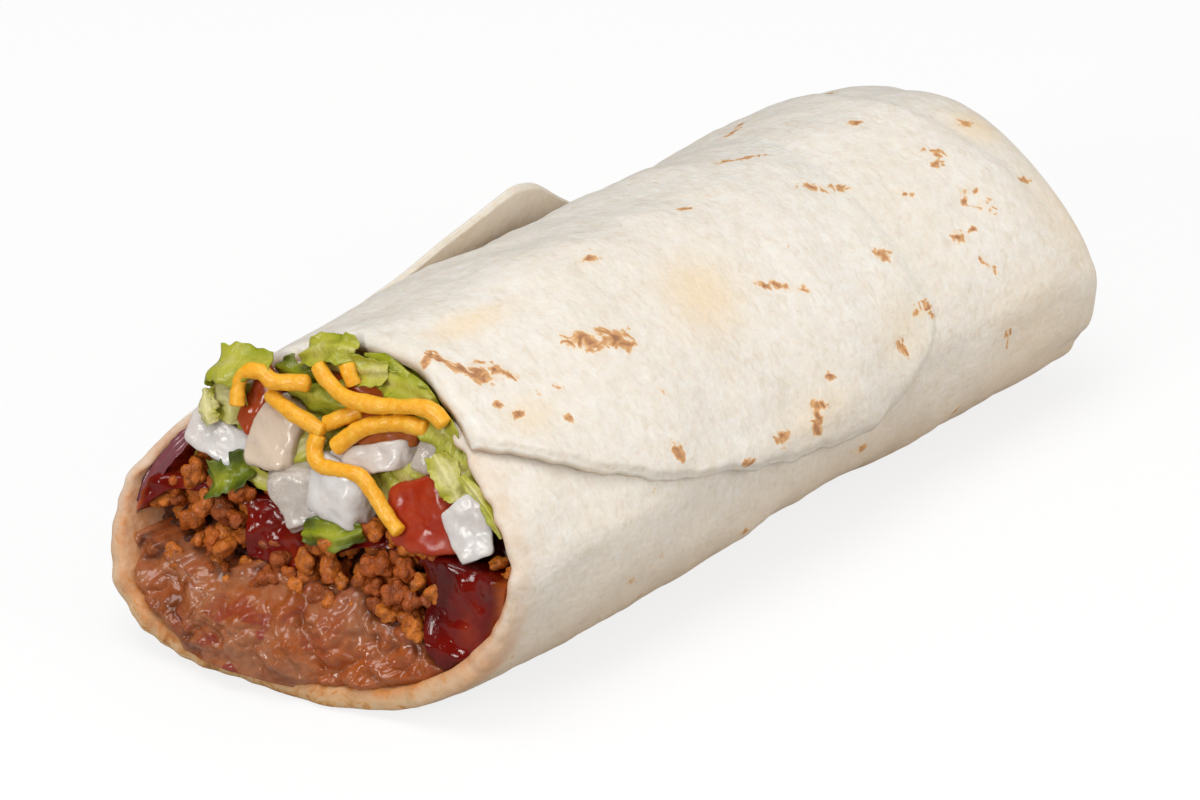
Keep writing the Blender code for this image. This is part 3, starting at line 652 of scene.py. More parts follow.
def lump(points, size, seed=0.0, octaves=3):
    """Irregular lumps between about -1 and 1, for each of many points."""
    shift = Vector((seed * 7.3, seed * 3.1, seed * 5.7))
    flat = np.asarray(points).reshape(-1, 3) / size
    lumps = [noise.fractal(Vector(p) + shift, 1.0, 2.0, octaves) for p in flat]
    return np.array(lumps).reshape(points.shape[:-1])


def bed(name, low, high, forward, finish, columns, rows):
    """A bed of filling between two levels: a shaped front, and sides that follow the hollow to the fold."""
    span = np.linspace(wall[:, 1].min(), wall[:, 1].max(), 400)
    upper, lower = wall[wall_angles <= 180], wall[wall_angles >= 180]
    roof = np.interp(span, upper[::-1, 1], upper[::-1, 2])
    ground = np.interp(span, lower[:, 1], lower[:, 2])
    bottom, top = np.maximum(low(span), ground), np.minimum(high(span), roof)
    open_y = span[top - bottom > 0.4 * MM]
    y = np.linspace(open_y.min(), open_y.max(), columns)[:, None]
    share = np.linspace(0, 1, rows)[None, :]
    z0, z1 = np.interp(y, span, bottom), np.interp(y, span, top)
    z = z0 + (z1 - z0) * share
    face = np.stack(np.broadcast_arrays(cut_x(y, z), y, z), -1)
    rim_fade = 1 - smooth((wall_share(y + 0 * z, z)[0] - 0.90) / 0.1)
    face = face + forward(face, rim_fade)[..., None] * np.array([-1.0, MOUTH_SKEW, MOUTH_LEAN])
    face = kept_inside(face, 0.925, 0.3 * MM)
    border = border_of(columns, rows)
    edge = face.reshape(-1, 3)[border]
    middle_y, middle_z, wide, high_at = hollow(edge[:, 0])
    u, v = (edge[:, 1] - middle_y) / wide, (edge[:, 2] - middle_z) / high_at
    points, faces, last = [face.reshape(-1, 3)], [], border
    for i in range(columns - 1):
        for j in range(rows - 1):
            a, b = i * rows + j, (i + 1) * rows + j
            faces.append((a, a + 1, b + 1, b))
    made_so_far = columns * rows
    deepest = LENGTH / 2 - 9 * MM
    for share in (0.03, 0.12, 0.3, 0.5, 0.7, 0.84, 0.94, 1.0):
        x = edge[:, 0] + (deepest - edge[:, 0]) * share
        mid_y, mid_z, w, h = hollow(x)
        loop = kept_inside(np.stack([x, mid_y + u * w, mid_z + v * h], -1), 0.89, 0.0)
        points.append(loop)
        now = list(range(made_so_far, made_so_far + len(border)))
        faces += list(zip(last, last[1:] + last[:1], now[1:] + now[:1], now))
        made_so_far += len(border)
        last = now
    points.append(points[-1].mean(axis=0)[None])
    faces += [(a, b, made_so_far) for a, b in zip(last, last[1:] + last[:1])]
    made = make_mesh(name, np.concatenate(points), faces, finish)
    face_out(made)
    return made, face


def give(piece, trait, values):
    """Stores a trait on a bed's front points; the rest of the bed gets the values' mean."""
    every = np.full(len(piece.data.vertices), float(np.mean(values)), np.float32)
    every[: np.size(values)] = np.ravel(values)
    piece.data.attributes.new(trait, "FLOAT", "POINT").data.foreach_set("value", every)


def beans_top(y):
    return 15 * MM - 2.5 * MM * hill(y, 14 * MM, 7 * MM) + 1.5 * MM * smooth((y - 20 * MM) / (10 * MM))


def beef_top(y):
    near, far = 8 * MM * smooth((-y - 19 * MM) / (11 * MM)), 5 * MM * smooth((y - 21 * MM) / (7 * MM))
    return 26 * MM - 4 * MM * hill(y, -3 * MM, 6 * MM) - near - far


def sauce_top(y):
    return 29.5 * MM - 3.5 * MM * hill(y, -3 * MM, 7 * MM) + 4 * MM * smooth((y - 14 * MM) / (8 * MM))


# wet speckle: broken-up gloss and small wrinkles, used on everything moist
wet, wet_in, wet_out = new_group(
    "wet_speckle",
    [("Place", "NodeSocketVector", None), ("Size", "NodeSocketFloat", 300.0), ("Dry", "NodeSocketFloat", 0.5),
     ("Moist", "NodeSocketFloat", 0.15)],
    [("Roughness", "NodeSocketFloat"), ("Height", "NodeSocketFloat")])
patch = noise_in(wet, wet_in["Place"], wet_in["Size"], 5.0, Roughness=0.6)
sharp = node(wet, "ShaderNodeMapRange", {"Value": patch, "From Min": 0.38, "From Max": 0.62})
gloss = node(wet, "ShaderNodeMapRange", {
    "Value": sharp.outputs["Result"], "To Min": wet_in["Moist"], "To Max": wet_in["Dry"]})
wet.links.new(gloss.outputs["Result"], wet_out["Roughness"])
wet.links.new(patch, wet_out["Height"])

# THE REFRIED BEANS
# A bed of mashed beans along the bottom, wet and lumpy, which bulges over the lip of the sheet.
# Skins and half-mashed beans show in it as redder, darker bits, and its hollows are darkened nearly black as
# painted shade.
bean_paste, tree, shader, place = new_finish(
    "bean_paste", Specular_IOR_Level=0.35, Coat_Weight=0.5, Coat_Roughness=0.10,
    Subsurface_Weight=0.12, Subsurface_Scale=0.0015)
moist = use_group(tree, wet, Place=place, Size=200.0, Dry=0.42, Moist=0.2)
paste = ramp(tree, noise_in(tree, place, 120.0, 6.0, Roughness=0.6, Distortion=0.8), (
    (0.30, (0.14, 0.030, 0.006)), (0.42, (0.29, 0.080, 0.022)), (0.56, (0.37, 0.140, 0.062)),
    (0.70, (0.34, 0.085, 0.014))))
oil = mask(tree, noise_in(tree, place, 70.0, 4.0), 0.50, 0.64, 0.75)
paste = mixed(tree, oil, paste, (0.36, 0.075, 0.008))
paste = mixed(tree, trait(tree, "skin"), paste, (0.26, 0.030, 0.018))
# painted shade: the mash's hollows, found from the depth of its relief, go nearly black
paste = mixed(tree, trait(tree, "pit_shade"), paste, (0.045, 0.008, 0.003))
cover(tree, shader, paste, moist["Roughness"], moist["Height"], 0.45, 0.0009)


def beans_forward(face, rim_fade):
    y, z = face[..., 1], face[..., 2]
    over_lip = hill(y, 2 * MM, 12 * MM)
    lip = 3.6 * MM * over_lip * hill(z, 5 * MM, 7 * MM)
    # the mash's folds: soft swells pushed out of round by one another
    drift = face + 1.2 * MM * np.stack([lump(face, 7 * MM, 21 + k, 1) for k in range(3)], -1)
    swells = 1.5 * MM * lump(drift, 10 * MM, 1, 1) + 2.6 * MM * np.abs(lump(drift, 6.5 * MM, 2, 1)) - 0.8 * MM
    small = 1.5 * MM * np.abs(lump(drift, 3.1 * MM, 3, 1)) + 0.6 * MM * np.abs(lump(drift, 1.5 * MM, 4, 1))
    small = small - 0.5 * MM
    held_back = 4.2 * MM * (1 - rim_fade) * (1 - over_lip)
    top_edge = 1.2 * MM * smooth((z - beans_top(y) + 2 * MM) / (3 * MM))
    under_sauce = 2.2 * MM * smooth((-y - 22 * MM) / (4 * MM)) * smooth((z - 10 * MM) / (3 * MM))
    return 0.9 * MM + lip + (swells + small) * (0.4 + 0.6 * rim_fade) - held_back - top_edge - under_sauce


beans, beans_face = bed("bean_bed", lambda y: -5 * MM + 0 * y, lambda y: beans_top(y) + 2.2 * MM,
                        beans_forward, bean_paste, 270, 96)
relief = beans_forward(beans_face, 1.0)
# painted shade in the deepest quarter of the mash's relief
give(beans, "pit_shade", np.clip((np.percentile(relief, 26) - relief) / (1.3 * MM), 0, 0.85))
give(beans, "skin", 0.9 * smooth((lump(beans_face, 5 * MM, 17) - 0.22) / 0.12)
     * (hill(beans_face[..., 1], 0, 7 * MM) * hill(beans_face[..., 2], 7 * MM, 6 * MM) + 0.25))
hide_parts("refried_beans")

# THE SEASONED BEEF
# Finely broken, fried minced meat: knobbly clumps of 3 to 6 mm, orange-brown with spice and fat,
# heaped on the beans so loosely that gaps show between them; the bed behind them is painted shade, nearly
# black.
beef_crumb, tree, shader, place = new_finish(
    "beef_crumb", Specular_IOR_Level=0.5, Coat_Weight=0.25, Coat_Roughness=0.2,
    Subsurface_Weight=0.08, Subsurface_Scale=0.0012)
moist = use_group(tree, wet, Place=place, Size=520.0, Dry=0.6, Moist=0.28)
meat = ramp(tree, trait(tree, "hue"), (
    (0.0, (0.07, 0.016, 0.003)), (0.4, (0.49, 0.098, 0.004)), (1.0, (0.69, 0.190, 0.010))))
mottle = noise_in(tree, place, 600.0, 5.0, Roughness=0.7)
meat = mixed(tree, mask(tree, mottle, 0.48, 0.68, 0.8), meat, (0.14, 0.032, 0.008))
cover(tree, shader, meat, moist["Roughness"], maths(tree, "ADD", moist["Height"], mottle), 0.9, 0.0012)


def beef_forward(face, rim_fade):
    lumps = -4.6 * MM + 1.6 * MM * lump(face, 5 * MM, 5) + 0.8 * MM * lump(face, 2 * MM, 6)
    return lumps - 1.5 * MM * (1 - rim_fade)


beef_shaded_core, beef_face = bed("beef_shaded_bed", lambda y: beans_top(y) - 1 * MM, lambda y: beef_top(y) + 1 * MM,
                           beef_forward, beef_crumb, 170, 50)
# painted shade: the bed behind the crumbs takes the darkest hue, for the shade in the gaps between them
give(beef_shaded_core, "hue", np.full(beef_face.shape[:2], 0.02))


def knob_ball(detail):
    """A fine ball of radius 1: the way from its middle to each of its points, and its faces."""
    bm = bmesh.new()
    bmesh.ops.create_icosphere(bm, subdivisions=detail, radius=1)
    ways = np.array([v.co for v in bm.verts])
    faces = [tuple(v.index for v in f.verts) for f in bm.faces]
    bm.free()
    return ways, faces


def crumb(ways, draw, size):
    """A knobbly clump: the outline of many overlapping balls, wrinkled a little."""
    reach = np.full(len(ways), 0.55 * size)
    for _ in range(draw.integers(9, 16)):
        out = draw.normal(size=3)
        out /= np.linalg.norm(out)
        middle, radius = out * size * draw.uniform(0.42, 0.72), size * draw.uniform(0.30, 0.46)
        facing = ways @ middle
        inside_it = radius**2 - middle @ middle + facing**2
        hit = np.where(inside_it > 0, facing + np.sqrt(np.maximum(inside_it, 0)), 0)
        reach = np.maximum(reach, hit)
    body = ways * reach[:, None] * draw.uniform(0.8, 1.15, 3)
    return body + ways * (0.06 * size * lump(body, 0.4 * size, draw.uniform(0, 9), 2))[:, None]


def heap(name, places, sizes, seed, finish):
    """Many crumbs joined as one mesh, each a little browner or paler than the next."""
    draw = np.random.default_rng(seed)
    ways, ball_faces = knob_ball(3)
    points, faces, hues = [], [], []
    for place_at, size in zip(places, sizes):
        body = crumb(ways, draw, size) + place_at
        base = len(ways) * len(points)
        points.append(body)
        faces += [tuple(base + i for i in f) for f in ball_faces]
        hues.append(np.full(len(ways), draw.uniform(0.25, 1.0)))
    return make_mesh(name, kept_inside(np.concatenate(points)), faces, finish, hue=np.concatenate(hues))


# the sauce lies open in a pool among the crumbs here
POOL_Y, POOL_LOW = 3.2 * MM, 17.6 * MM
CRUMB_GAP, LAYERS_FORWARD = 2.9, (-4.0, -1.2)
# crumbs up both sides, as y, z, forward and size in mm
SIDE_CRUMBS = ((-33.2, 24.5, -1.2, 2.2), (-34.0, 21.5, -1.4, 2.0), (-32.0, 27.0, -1.6, 1.9),
               (-34.2, 26.0, -1.6, 1.8), (-20.5, 25.6, -0.4, 1.5), (23.6, 24.6, -0.6, 2.2),
               (20.4, 26.8, -0.8, 2.3), (24.8, 21.6, -1.0, 2.2))
draw = np.random.default_rng(31)
places, sizes = [], []
for layer, behind in enumerate(LAYERS_FORWARD):
    for y_mm in np.arange(-32, 33, CRUMB_GAP):
        for level in np.linspace(0.02, 1.04, 4):
            y = y_mm + draw.uniform(-1.2, 1.2)
            low, high = float(beans_top(y * MM)) / MM, float(beef_top(y * MM)) / MM
            z = low + (high - low) * level + draw.uniform(-0.9, 0.9)
            share = float(wall_share(np.array(y * MM), np.array(z * MM))[0])
            if share > 0.93 or y < -25 or (layer and draw.uniform() < 0.12):
                continue
            forward = behind + draw.uniform(-0.8, 0.8) - 1.2 * float(smooth((share - 0.82) / 0.12))
            size = draw.uniform(1.7, 2.7) * MM
            if abs(y - POOL_Y / MM) < 5.4 and z > POOL_LOW / MM + 1.2:
                continue
            places.append(on_cut(y, z, forward))
            sizes.append(size)
for y, z, forward, size in SIDE_CRUMBS:
    places.append(on_cut(y, z, forward))
    sizes.append(size * MM)
crumbs = heap("beef_crumbs", places, sizes, 32, beef_crumb)
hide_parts("seasoned_beef")

# THE RED SAUCE
# A thick, dark, shining chili sauce spooned over the meat: it lies between meat and lettuce,
# stands in a pool among the crumbs and has run down both sides inside the sheet.
chili_sauce, tree, shader, place = new_finish(
    "chili_sauce", Specular_IOR_Level=0.2, Coat_Weight=0.4, Coat_Roughness=0.05)
moist = use_group(tree, wet, Place=place, Size=150.0, Dry=0.26, Moist=0.10)
red = ramp(tree, noise_in(tree, place, 90.0, 4.0), (
    (0.35, (0.070, 0.0015, 0.0007)), (0.55, (0.16, 0.005, 0.002)), (0.72, (0.30, 0.026, 0.005))))
red = mixed(tree, trait(tree, "film"), red, (0.42, 0.085, 0.010))
cover(tree, shader, red, moist["Roughness"], moist["Height"], 0.4, 0.0015)


def sauce_forward(face, rim_fade):
    y, z = face[..., 1], face[..., 2]
    behind_dice = smooth((z - 26 * MM) / (2.0 * MM)) * (1 - smooth((y - 22 * MM) / (4 * MM)))
    run = 2.0 * MM * smooth((-y - 17 * MM) / (9 * MM)) + 1.8 * MM * smooth((y - 19 * MM) / (5 * MM))
    return (-1.7 * MM + run - 5.5 * MM * behind_dice + 1.3 * MM * lump(face, 8 * MM, 8, 2)
            + 0.45 * MM * lump(face, 3 * MM, 9, 2) - 1.0 * MM * (1 - rim_fade))


def sauce_low(y):
    pool = smooth((7.5 * MM - np.abs(y - POOL_Y)) / (3 * MM))
    on_meat = beef_top(y) - 1.2 * MM
    return on_meat - 7 * MM * smooth((-y - 21 * MM) / (5 * MM)) - (on_meat - POOL_LOW) * pool


sauce, sauce_face = bed("sauce_bed", sauce_low, lambda y: sauce_top(y) + 1.6 * MM,
                        sauce_forward, chili_sauce, 190, 60)
share = wall_share(sauce_face[..., 1], sauce_face[..., 2])[0]
give(sauce, "film", smooth((share - 0.93) / 0.06) * 0.8)
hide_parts("red_sauce")

# THE SHREDDED LETTUCE
# A heap of crisp iceberg shreds over the sauce: soft ribbons and leaf ends with wavy edges and pale ribs.
# A core stands for the shreds behind that can't be told apart; its darker green is painted shade.
lettuce_leaf, tree, shader, place = new_finish(
    "lettuce_leaf", Specular_IOR_Level=0.4, Coat_Weight=0.12, Coat_Roughness=0.2,
    Subsurface_Weight=0.15, Subsurface_Scale=0.0012)
shader.inputs["Subsurface Radius"].default_value = (0.9, 1.0, 0.2)
mottle = noise_in(tree, place, 300.0, 4.0)
shade = maths(tree, "ADD", trait(tree, "green"), maths(tree, "MULTIPLY_ADD", mottle, 0.36, -0.18))
leaf = ramp(tree, shade, ((0.0, (0.64, 0.59, 0.27)), (0.3, (0.46, 0.44, 0.055)), (0.6, (0.30, 0.32, 0.014)),
                          (0.85, (0.13, 0.165, 0.007)), (1.0, (0.05, 0.07, 0.004))))
moist = use_group(tree, wet, Place=place, Size=260.0, Dry=0.42, Moist=0.2)
veins = node(tree, "ShaderNodeTexVoronoi", {"Vector": place, "Scale": 300.0}, feature="DISTANCE_TO_EDGE")
vein = maths(tree, "MINIMUM", veins.outputs["Distance"], 0.3)
crinkle = noise_in(tree, place, 420.0, 4.0, Distortion=1.0)
cover(tree, shader, leaf, moist["Roughness"], maths(tree, "ADD", vein, crinkle), 0.55, 0.0009)


def lettuce_forward(face, rim_fade):
    lumps = -8.2 * MM + 2.4 * MM * lump(face, 9 * MM, 12) + 1.2 * MM * lump(face, 3.5 * MM, 13)
    return lumps - 1.0 * MM * (1 - rim_fade)


lettuce_shaded_core, lettuce_face = bed("lettuce_shaded_bed", lambda y: sauce_top(y) - 1 * MM, lambda y: 70 * MM + 0 * y,
                                 lettuce_forward, lettuce_leaf, 150, 60)
# painted shade: the core's green is mostly deep, darker than the shreds in front
give(lettuce_shaded_core, "green", np.clip(0.78 + 0.4 * lump(lettuce_face, 6 * MM, 14), 0.3, 1))


def along_route(route, count):
    """Points spaced along a smooth curve through a route."""
    route = np.asarray(route, float)
    padded = np.concatenate([2 * route[:1] - route[1:2], route, 2 * route[-1:] - route[-2:-1]])
    at = np.linspace(0, len(route) - 1 - 1e-9, count)
    k, t = at.astype(int), (at % 1)[:, None]
    p0, p1, p2, p3 = padded[k], padded[k + 1], padded[k + 2], padded[k + 3]
    bent, bent_more = (2 * p0 - 5 * p1 + 4 * p2 - p3) * t**2, (3 * p1 - p0 - 3 * p2 + p3) * t**3
    return 0.5 * (2 * p1 + (p2 - p0) * t + bent + bent_more)


def leaf_shred(route, width, green_at, seed, tilt=0.0):
    """One ribbon of leaf: a route down its rib and a wavy blade either side, as a thin closed sheet."""
    long, wide = 60, 17
    spine = along_route([on_cut(*p) for p in route], long)
    ahead = np.gradient(spine, axis=0)
    ahead /= np.linalg.norm(ahead, axis=1, keepdims=True)
    side = np.cross(ahead, np.array([-1.0, -0.3, 0.45 + tilt]))
    side /= np.linalg.norm(side, axis=1, keepdims=True)
    up = np.cross(side, ahead)
    across = np.linspace(-1, 1, wide)[None, :, None]
    draw = np.random.default_rng(seed)
    t = np.linspace(0, 1, long)[:, None, None]
    taper = np.clip(np.sin(np.pi * (0.10 + 0.80 * t)) ** 0.45, 0.2, 1)
    torn = 1 + 0.12 * np.sin(t * draw.uniform(9, 15) + draw.uniform(0, 6) + across)
    torn = torn + 0.05 * np.sin(t * draw.uniform(36, 50) + draw.uniform(0, 6)) * np.abs(across)
    half = width * MM / 2 * taper * torn
    wave = np.sin(t * draw.uniform(8, 14) + draw.uniform(0, 6) + across * draw.uniform(0.5, 1.5))
    wave = wave + 0.35 * np.sin(t * draw.uniform(20, 28) + across * 2)
    ruffle = 0.11 * width * MM * wave * np.abs(across) ** 1.3
    fold = 0.20 * width * MM * draw.uniform(-1, 1) * across**2
    fold = fold + 0.06 * width * MM * np.sin(across * draw.uniform(3, 6) + seed)
    middle = spine[:, None] + side[:, None] * across * half + up[:, None] * (ruffle + fold)
    thick = (0.26 + 0.4 * (1 - np.abs(across)) ** 2) * MM
    above, below = middle + up[:, None] * thick / 2, middle - up[:, None] * thick / 2
    shade = green_at + 0.30 * (np.abs(across[..., 0]) - 0.5) + 0.10 * np.sin(t[..., 0] * 9 + seed)
    shade = np.broadcast_to(np.clip(shade, 0, 1), (long, wide))
    body = kept_inside(np.concatenate([above.reshape(-1, 3), below.reshape(-1, 3)]))
    return body, sheet_faces(long, wide), np.stack([shade, shade])


# the shreds that can be told apart: route as (y, z, forward), width in mm, how green, and lean
LEAVES = (
    ([(22.6, 41.6, -1), (20.4, 43.8, 2.0), (16.4, 45.6, 3.4), (11.4, 46.6, 2.4)], 6.6, 0.42, 0.9),
    ([(21.8, 40.6, -1), (19.4, 40.4, 0.5), (16.8, 38.6, 0.8), (16.2, 35.4, 0)], 7.0, 0.16, 0.0),
    ([(10.0, 46.4, -2), (6.4, 49.0, -0.4), (3.0, 50.4, 0.8), (0.0, 50.4, 0.4)], 5.6, 0.40, 0.9),
    ([(7.0, 45.4, -2.6), (3.0, 46.6, -1.0), (-1.4, 47.6, -0.4), (-5.6, 48.4, -0.6)], 5.2, 0.30, 0.0),
    ([(-4.0, 46.6, -1.6), (-8.0, 47.0, -0.4), (-12.4, 46.4, 0), (-16.2, 44.4, -0.4)], 5.0, 0.40, 0.4),
    ([(0.4, 49.4, -2.4), (-4.0, 50.0, -1.2), (-8.6, 49.2, -1.0), (-13.0, 47.8, -1.6)], 4.0, 0.62, 0.3),
    ([(-10, 46.0, -1.0), (-14.2, 45.2, 0.4), (-18.2, 42.6, 0.6), (-21, 39.0, 0)], 5.8, 0.46, 0.2),
    ([(-17.6, 43.0, -0.4), (-21, 39.8, 0.6), (-24.4, 36.2, 0.8), (-27.4, 33.4, 0)], 5.8, 0.40, 0.0),
    ([(-18.2, 40.0, 1.0), (-20.8, 38.8, 2.0), (-23.4, 36.8, 2.0), (-24.6, 35.4, 1.8)], 4.6, 0.14, 0.5),
    ([(-24.2, 39.0, 2.4), (-28.0, 36.8, 2.4), (-31.2, 34.4, 2.2), (-33.0, 32.0, 1.6)], 2.2, 0.30, 0.2),
    ([(-4, 36, -3), (-9.4, 35.2, -1.4), (-13.6, 34.8, -1.0), (-17, 33.8, -2.0)], 8.0, 0.26, 0.0),
    ([(-7, 32.5, -2.6), (-11.4, 32.2, -0.8), (-15.4, 31.2, -1.2)], 7.0, 0.30, 0.0),
    ([(11.4, 30.6, -1.6), (13.4, 29.0, 0.4), (15.2, 27.6, 0.8), (16.6, 27.0, 0.2)], 5.8, 0.84, 0.0),
    ([(-1.2, 24.2, 0.8), (-4.4, 25.2, 1.8), (-7.8, 25.8, 2.0), (-10.6, 26.8, 1.0)], 4.8, 0.76, 0.0),
    ([(21.2, 39.8, 1.4), (20.0, 38.4, 2.4), (18.8, 37.0, 2.8), (17.8, 35.8, 2.6)], 3.4, 0.10, 0.0),
    ([(9.6, 41.6, -1.2), (4.4, 42.4, -0.2), (-0.6, 42.2, -0.2), (-4.4, 41.4, -1.4)], 4.6, 0.62, 0.0),
    ([(10, 38.6, -2.6), (5.4, 38.0, -1.4), (1, 36.8, -1.6), (-1, 35, -2.2)], 6.0, 0.46, 0.0),
    ([(7.4, 31.4, -1.6), (5.6, 33.4, -0.6), (3.6, 35.4, -0.8), (1.6, 36.6, -1.6)], 4.6, 0.20, 0.0),
    ([(4.4, 33.4, -2), (2.6, 31.8, -1), (0.4, 32.6, -1.4), (-1.6, 33.6, -2)], 5.4, 0.32, 0.0),
    ([(8, 29.8, -3), (5, 29, -2), (3, 31, -2), (3, 34, -3)], 6.0, 0.5, 0.0),
    ([(-12.4, 38.4, -2.6), (-15.8, 37.6, -1.4), (-19.4, 35.4, -1.2), (-21.8, 32.8, -2.0)], 6.4, 0.32, 0.0),
    ([(-13, 42.6, -3), (-16.4, 41.2, -2.0), (-19, 38.6, -2.0)], 6.0, 0.42, 0.0),
    ([(14, 43.2, -3), (9.6, 43.4, -2.4), (5.2, 44.2, -2.4), (0, 44.6, -3)], 6.4, 0.80, 0.0),
    ([(16.6, 40.6, -3), (14.2, 37.6, -2.4), (13.6, 34.6, -2.4), (14, 31.6, -3)], 6.6, 0.46, 0.0),
    ([(14.6, 30.4, -2.4), (12.2, 29.6, -1.2), (9.2, 28.6, -1.0), (5.6, 28.4, -1.6)], 3.0, 0.34, 0.0),
)
shred_points, shred_faces, shred_shades = [], [], []


def lay_shred(*shred):
    """Adds one shred to the heap's mesh."""
    body, body_faces, shade = leaf_shred(*shred)
    before = sum(len(points) for points in shred_points)
    shred_points.append(body)
    shred_faces.extend(tuple(before + i for i in f) for f in body_faces)
    shred_shades.append(shade.ravel())


for number, (route, width, green_at, tilt) in enumerate(LEAVES):
    lay_shred(route, width, green_at, 50 + number, tilt)
# and as many again at random behind them
BEHIND_LEAVES = 40
draw = np.random.default_rng(77)
for number in range(BEHIND_LEAVES):
    y, z = draw.uniform(-26, 22), draw.uniform(30, 48)
    way = draw.uniform(0, 2 * math.pi)
    route = [(y, z, -6.0)]
    for _ in range(3):
        way += draw.uniform(-0.7, 0.7)
        y, z = y + 3.8 * math.cos(way), z + 2.4 * math.sin(way)
        route.append((y, z, draw.uniform(-6.5, -3.6)))
    if max(float(wall_share(np.array(p[0] * MM), np.array(p[1] * MM))[0]) for p in route) > 0.9:
        continue
    lay_shred(route, draw.uniform(4.5, 7), draw.uniform(0.3, 0.95), 100 + number)
shreds = make_mesh("lettuce_shreds", np.concatenate(shred_points), shred_faces, lettuce_leaf,
                   green=np.concatenate(shred_shades))
face_out(shreds)
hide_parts("shredded_lettuce")

# THE CHOPPED ONION AND TOMATO
# Hand-cut dice of 4 to 12 mm: onion is milky and half clear with faint layer lines,
# tomato is wet red flesh, its skin side smooth. Each is a block with its edges softened by moisture.
onion_finishes = {}
for label, clearness in (("onion_milky", 0.06), ("onion_clear", 0.30)):
    finish, tree, shader, place = new_finish(
        label, Specular_IOR_Level=0.5, Coat_Weight=0.35, Coat_Roughness=0.08, IOR=1.36,
        Transmission_Weight=clearness, Subsurface_Weight=0.35, Subsurface_Scale=0.002)
    shader.inputs["Subsurface Radius"].default_value = (1.0, 0.85, 0.7)
    milk = mixed(tree, trait(tree, "hue"), (0.70, 0.67, 0.65), (0.70, 0.52, 0.35))
    clouds = mask(tree, noise_in(tree, place, 170.0, 4.0), 0.45, 0.72, 0.5)
    milk = mixed(tree, clouds, milk, (0.58, 0.47, 0.42))
    moist = use_group(tree, wet, Place=place, Size=240.0, Dry=0.35, Moist=0.14)
    layers = node(tree, "ShaderNodeTexWave", {
        "Vector": place, "Scale": 150.0, "Distortion": 5.0, "Detail": 3.0})
    cover(tree, shader, milk, moist["Roughness"], layers.outputs["Fac"], 0.3, 0.0007)
    onion_finishes[label] = finish

tomato_flesh, tree, shader, place = new_finish(
    "tomato_flesh", Specular_IOR_Level=0.3, Coat_Weight=0.25, Coat_Roughness=0.14,
    Subsurface_Weight=0.25, Subsurface_Scale=0.003)
shader.inputs["Subsurface Radius"].default_value = (1.0, 0.25, 0.12)
cells = noise_in(tree, place, 200.0, 4.0)
flesh = mixed(tree, trait(tree, "hue"), (0.34, 0.022, 0.004), (0.40, 0.100, 0.010))
flesh = mixed(tree, mask(tree, cells, 0.42, 0.7, 0.6), flesh, (0.46, 0.075, 0.022))
moist = use_group(tree, wet, Place=place, Size=300.0, Dry=0.38, Moist=0.18)
cover(tree, shader, flesh, moist["Roughness"], cells, 0.25, 0.0007)
TILT = Euler((0, math.atan(MOUTH_LEAN), math.atan(-MOUTH_SKEW))).to_matrix()
DICE_WAYS, DICE_FACES = knob_ball(5)


def dice(name, middle, size, turn, seed, softness, hue, finish):
    """A cut block: six leaning cuts and three cut-off corners, their edges softened, faces a little bowed."""
    draw = np.random.default_rng(seed)
    cuts = [np.array(n, float) for n in ((1, 0, 0), (-1, 0, 0), (0, 1, 0), (0, -1, 0), (0, 0, 1), (0, 0, -1))]
    cuts = [n + draw.uniform(-0.26, 0.26, 3) for n in cuts]
    depths = [0.5 * draw.uniform(0.88, 1.08) for _ in cuts]
    for _ in range(3):
        corner = draw.choice([-1.0, 1.0], 3) + draw.uniform(-0.4, 0.4, 3)
        cuts.append(corner)
        depths.append(0.5 * draw.uniform(1.1, 1.35) * np.linalg.norm(corner) / 1.2)
    total = 0
    for cut, depth in zip(cuts, depths):
        cut = cut / np.linalg.norm(cut)
        total = total + np.maximum(DICE_WAYS @ cut, 0) ** softness / depth**softness
    local = DICE_WAYS * (total ** (-1 / softness))[:, None]
    local[:, 0] += 0.35 * (local[:, 1] ** 2 - 0.1)
    local = local * np.array(size) * MM
    local += 0.55 * MM * np.stack([lump(local, 5 * MM, seed + k, 2) for k in range(3)], -1)
    local += 0.16 * MM * DICE_WAYS * lump(local, 1.6 * MM, seed + 5, 2)[:, None]
    turned = np.array(TILT @ Euler([math.radians(t) for t in turn]).to_matrix())
    made = make_mesh(name, kept_inside(local @ turned.T + on_cut(*middle)), DICE_FACES, finish,
                     hue=np.full(len(local), hue))
    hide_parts(name.replace("_piece", "_dice"))


# a thin strip of the onion's purple skin, which lies on the sauce at the far side
skin_finish, tree, shader, place = new_finish(
    "onion_skin", Specular_IOR_Level=0.4, Roughness=0.22, Transmission_Weight=0.35,
    Coat_Weight=0.4, Coat_Roughness=0.06)
shader.inputs["Base Color"].default_value = (0.30, 0.09, 0.11, 1)
SLIVER = [(21.8, 33.4, 0.2), (23.8, 29.6, 1.0), (25.8, 24.6, 1.2), (27.2, 19.4, 0.8)]
body, body_faces, _ = leaf_shred(SLIVER, 2.6, 0.5, 7)
sliver = make_mesh("onion_skin_sliver", body, body_faces, skin_finish)
face_out(sliver)

